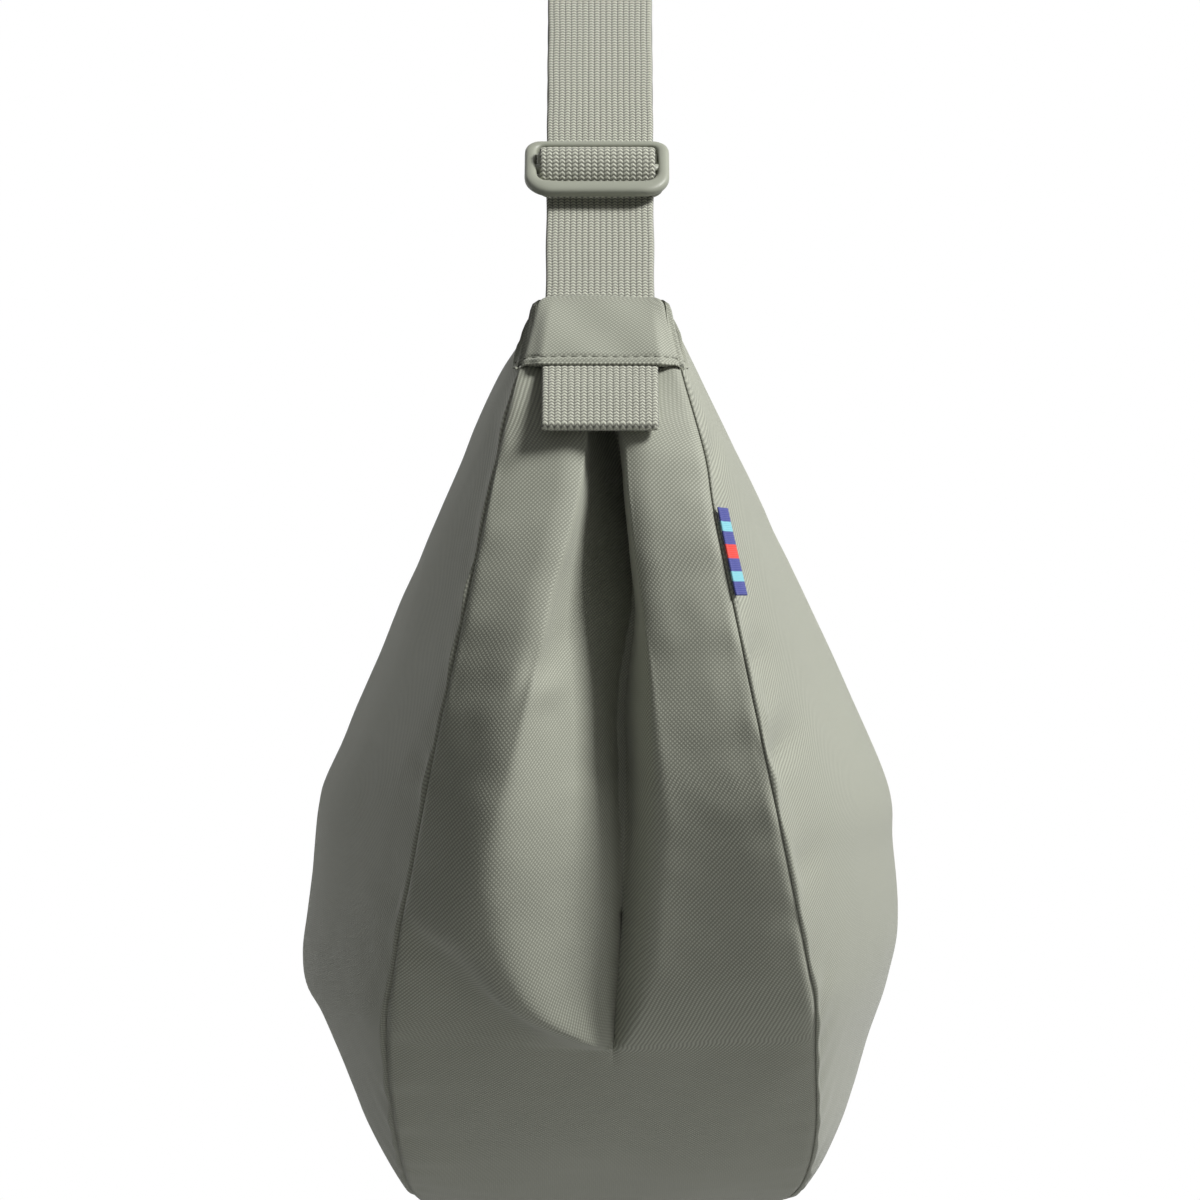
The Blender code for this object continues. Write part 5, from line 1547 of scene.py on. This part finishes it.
def softened(name, node, skin, width, segments=3):
    """Copy of a CAD node with its doubles merged and its edges rounded."""
    mesh = frame["nodes"][node].data.copy()
    with opened(mesh) as work:
        bmesh.ops.remove_doubles(work, verts=work.verts, dist=1e-6)
        bmesh.ops.dissolve_limit(work, angle_limit=math.radians(1), verts=work.verts,
                                 edges=work.edges)
        sharp = [e for e in work.edges if len(e.link_faces) == 2
                 and e.calc_face_angle(0) > math.radians(50)]
        bmesh.ops.bevel(work, geom=sharp, offset=width, segments=segments, profile=0.5,
                        affect="EDGES", clamp_overlap=True)
        bmesh.ops.recalc_face_normals(work, faces=work.faces)
        mesh.clear_geometry()
    mesh.materials.clear()
    mesh.materials.append(skin)
    mesh.name = name
    return placed(name, mesh)


class BAG_OT_zip(bpy.types.Operator):
    """Lay the zip's tapes, coils, stops, slider and pull"""
    bl_idname = "bag.zip"
    bl_label = "Zip"

    def execute(self, context):
        form = BagForm(context.scene.bag_sizes)
        tree = coil_tree()
        for side in SIDES.values():
            tape = softened(side + "_zip_tape_weave", side + "_zip_tape",
                            finish_of(context, "tape"), TAPE_BEVEL, 2)
            settle(tape, "bag", "zip_tape", side + "_zip_tape")
            low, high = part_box(side + "_zip_coil")
            length = high.y - low.y
            coil = grown(side + "_zip_coil_wire", line_object([[(0, 0, 0), (0, 0.001, 0)]]), tree,
                         {"Length": length, "Turns": round(length / COIL_PITCH),
                          "Half Width": (high.x - low.x) / 2 - COIL_WIRE,
                          "Half Height": (high.z - low.z) / 2 - COIL_WIRE, "Wire": COIL_WIRE,
                          "Nylon": finish_of(context, "coil")})
            coil.data.transform(Matrix.Translation(((low.x + high.x) / 2, high.y,
                                                    (low.z + high.z) / 2)))
            settle(coil, "bag", "zip_coil", side + "_zip_coil")
        metal = finish_of(context, "metal")
        for node, body, width in ZIP_METAL:
            settle(softened(node + "_metal", node, metal, width), body, "zip_metal", node)
        runs = []
        steps = np.linspace(0.01, 0.99, 200)
        place = np.arange(len(steps))
        for side in SIDES:
            grid = form.panel(steps, np.linspace(0, 0.03, 12), side)
            normals = grid_normals(grid, np.array([0, 0, 1]))
            column = np.argmin(np.abs(lengths_along(grid, 1) - ZIP_STITCH_INSET), axis=1)
            runs.append(grid[place, column] + normals[place, column] * THREAD_LIFT)
        settle(sew(context, "zip_stitches", runs), "bag", "cloth")
        return {"FINISHED"}


class BAG_OT_label(bpy.types.Operator):
    """Fold the woven label into the front seam"""
    bl_idname = "bag.label"
    bl_label = "Side label"

    def execute(self, context):
        form = BagForm(context.scene.bag_sizes)
        levels = np.linspace(*LABEL_LEVELS, 49)
        columns = []
        for row in np.linspace(1 - LABEL_REACH, 1, 25):
            shares = form.share_at(form.zip_height + (levels - form.zip_height) / row)
            steps = (shares - form.cap_share) / (1 - 2 * form.cap_share)
            columns.append(form.panel(steps, [row], 1))
        grid = np.concatenate(columns, axis=1)
        normals = grid_normals(grid, np.array([1, 0, 0]))
        place = np.linspace(0, 1, 25)[None, :]
        lift = LABEL_LIFT + LABEL_CURL * (1 - place) ** 2 + LABEL_WAVE * np.sin(place * 5)
        outer = grid + normals * (lift + LABEL_THICK)[..., None]
        inner = grid + normals * lift[..., None]
        fold = [outer[:, :1] * (1 - t) + inner[:, :1] * t
                + unit(outer[:, :1] - outer[:, 1:2]) * LABEL_FOLD * math.sin(t * math.pi)
                for t in (0.75, 0.5, 0.25)]
        outer = np.concatenate(fold + [outer], axis=1)
        inner = repeated(inner, (0, 0), (len(fold), 0))
        rows, columns = outer.shape[:2]
        uvs = np.stack(np.broadcast_arrays(np.linspace(0, 1, columns),
                                           np.linspace(0, 1, rows)[:, None]), axis=-1)
        ribbon = shell("side_label_ribbon", outer, inner, uvs, finish_of(context, "label"), 4)
        settle(ribbon, "bag", "label", "side_label")
        return {"FINISHED"}


class BAG_OT_stage(bpy.types.Operator):
    """Set the floor, the surroundings, the lights and the camera"""
    bl_idname = "bag.stage"
    bl_label = "Stage"

    def execute(self, context):
        scene, stage = context.scene, context.scene.bag_stage
        form = BagForm(scene.bag_sizes)
        ring = [(FLOOR_RADIUS * math.cos(a), FLOOR_RADIUS * math.sin(a),
                 form.base - stage.floor_drop)
                for a in np.linspace(0, 2 * math.pi, FLOOR_SIDES, endpoint=False)]
        mesh = bpy.data.meshes.new("floor")
        mesh.from_pydata(ring, [], [list(range(FLOOR_SIDES))])
        floor = placed("floor", mesh)
        pale, graph, shader = new_finish("pale_floor", (0.50, 0.50, 0.50), 0.8, 0.2)
        drive(graph, shader, None, None, graph.noise(graph.objects(), 400.0), 0.0002, 0.1)
        mesh.materials.append(pale)
        scene.world = bpy.data.worlds.new("surroundings")
        scene.world.use_nodes = True
        scene.world.node_tree.nodes.clear()
        graph = Graph(scene.world.node_tree)
        path = graph.node("ShaderNodeLightPath").output.node
        seen = Socket(graph, path.outputs["Is Camera Ray"])
        for other in ("Is Glossy Ray", "Is Transmission Ray"):
            seen = graph.math("MAXIMUM", seen, Socket(graph, path.outputs[other]))
        dim, white = [graph.node("ShaderNodeBackground", {},
                                 {"Color": (1, 1, 1, 1), "Strength": strength})
                      for strength in (stage.fill_level, 1.0)]
        both = graph.node("ShaderNodeMixShader", {}, {0: seen, 1: dim, 2: white})
        graph.node("ShaderNodeOutputWorld", {}, {0: both})
        middle = Vector((0, 0, form.widest))
        for name, spot, power, size in LIGHTS:
            lamp = bpy.data.lights.new(name, "AREA")
            lamp.energy = getattr(stage, power)
            lamp.size = size
            light = placed(name, lamp)
            light.location = middle + Vector(spot)
            light.rotation_euler = (-Vector(spot)).to_track_quat("-Z", "Y").to_euler()
        lens = bpy.data.cameras.new("camera")
        lens.lens = stage.lens
        lens.sensor_width = 36.0
        lens.clip_end = 50.0
        camera = placed("camera", lens)
        camera.location = (0, -stage.eye_distance, form.widest + stage.eye_above)
        camera.rotation_euler = (math.pi / 2, 0, 0)
        scene.camera = camera
        scene.view_settings.view_transform = "Standard"
        return {"FINISHED"}


class BAG_PT_panel(bpy.types.Panel):
    """Sizes, colours and pieces of the bag"""
    bl_idname = "BAG_PT_panel"
    bl_label = "Half moon bag"
    bl_space_type = "VIEW_3D"
    bl_region_type = "UI"
    bl_category = "Bag"

    def draw(self, context):
        for group in (context.scene.bag_sizes, context.scene.bag_looks, context.scene.bag_stage):
            box = self.layout.box()
            for key in group.__annotations__:
                box.prop(group, key)
        for operator in OPERATORS:
            self.layout.operator(operator.bl_idname)


GROUPS = (("bag_sizes", BAG_PG_sizes), ("bag_looks", BAG_PG_looks), ("bag_stage", BAG_PG_stage))
OPERATORS = (BAG_OT_stage, BAG_OT_panels, BAG_OT_gusset, BAG_OT_caps, BAG_OT_tabs, BAG_OT_strap,
             BAG_OT_fittings, BAG_OT_zip, BAG_OT_label)


def register():
    """Add the settings, the operators and the panel."""
    for name, group in GROUPS:
        bpy.utils.register_class(group)
        setattr(bpy.types.Scene, name, bpy.props.PointerProperty(type=group))
    for item in OPERATORS + (BAG_PT_panel,):
        bpy.utils.register_class(item)


def unregister():
    """Take the panel, the operators and the settings away."""
    for item in reversed(OPERATORS + (BAG_PT_panel,)):
        bpy.utils.unregister_class(item)
    for name, group in reversed(GROUPS):
        delattr(bpy.types.Scene, name)
        bpy.utils.unregister_class(group)


def main():
    """Make every piece."""
    register()
    for operator in OPERATORS:
        group, name = operator.bl_idname.split(".")
        getattr(getattr(bpy.ops, group), name)()


if __name__ == "__main__":
    main()
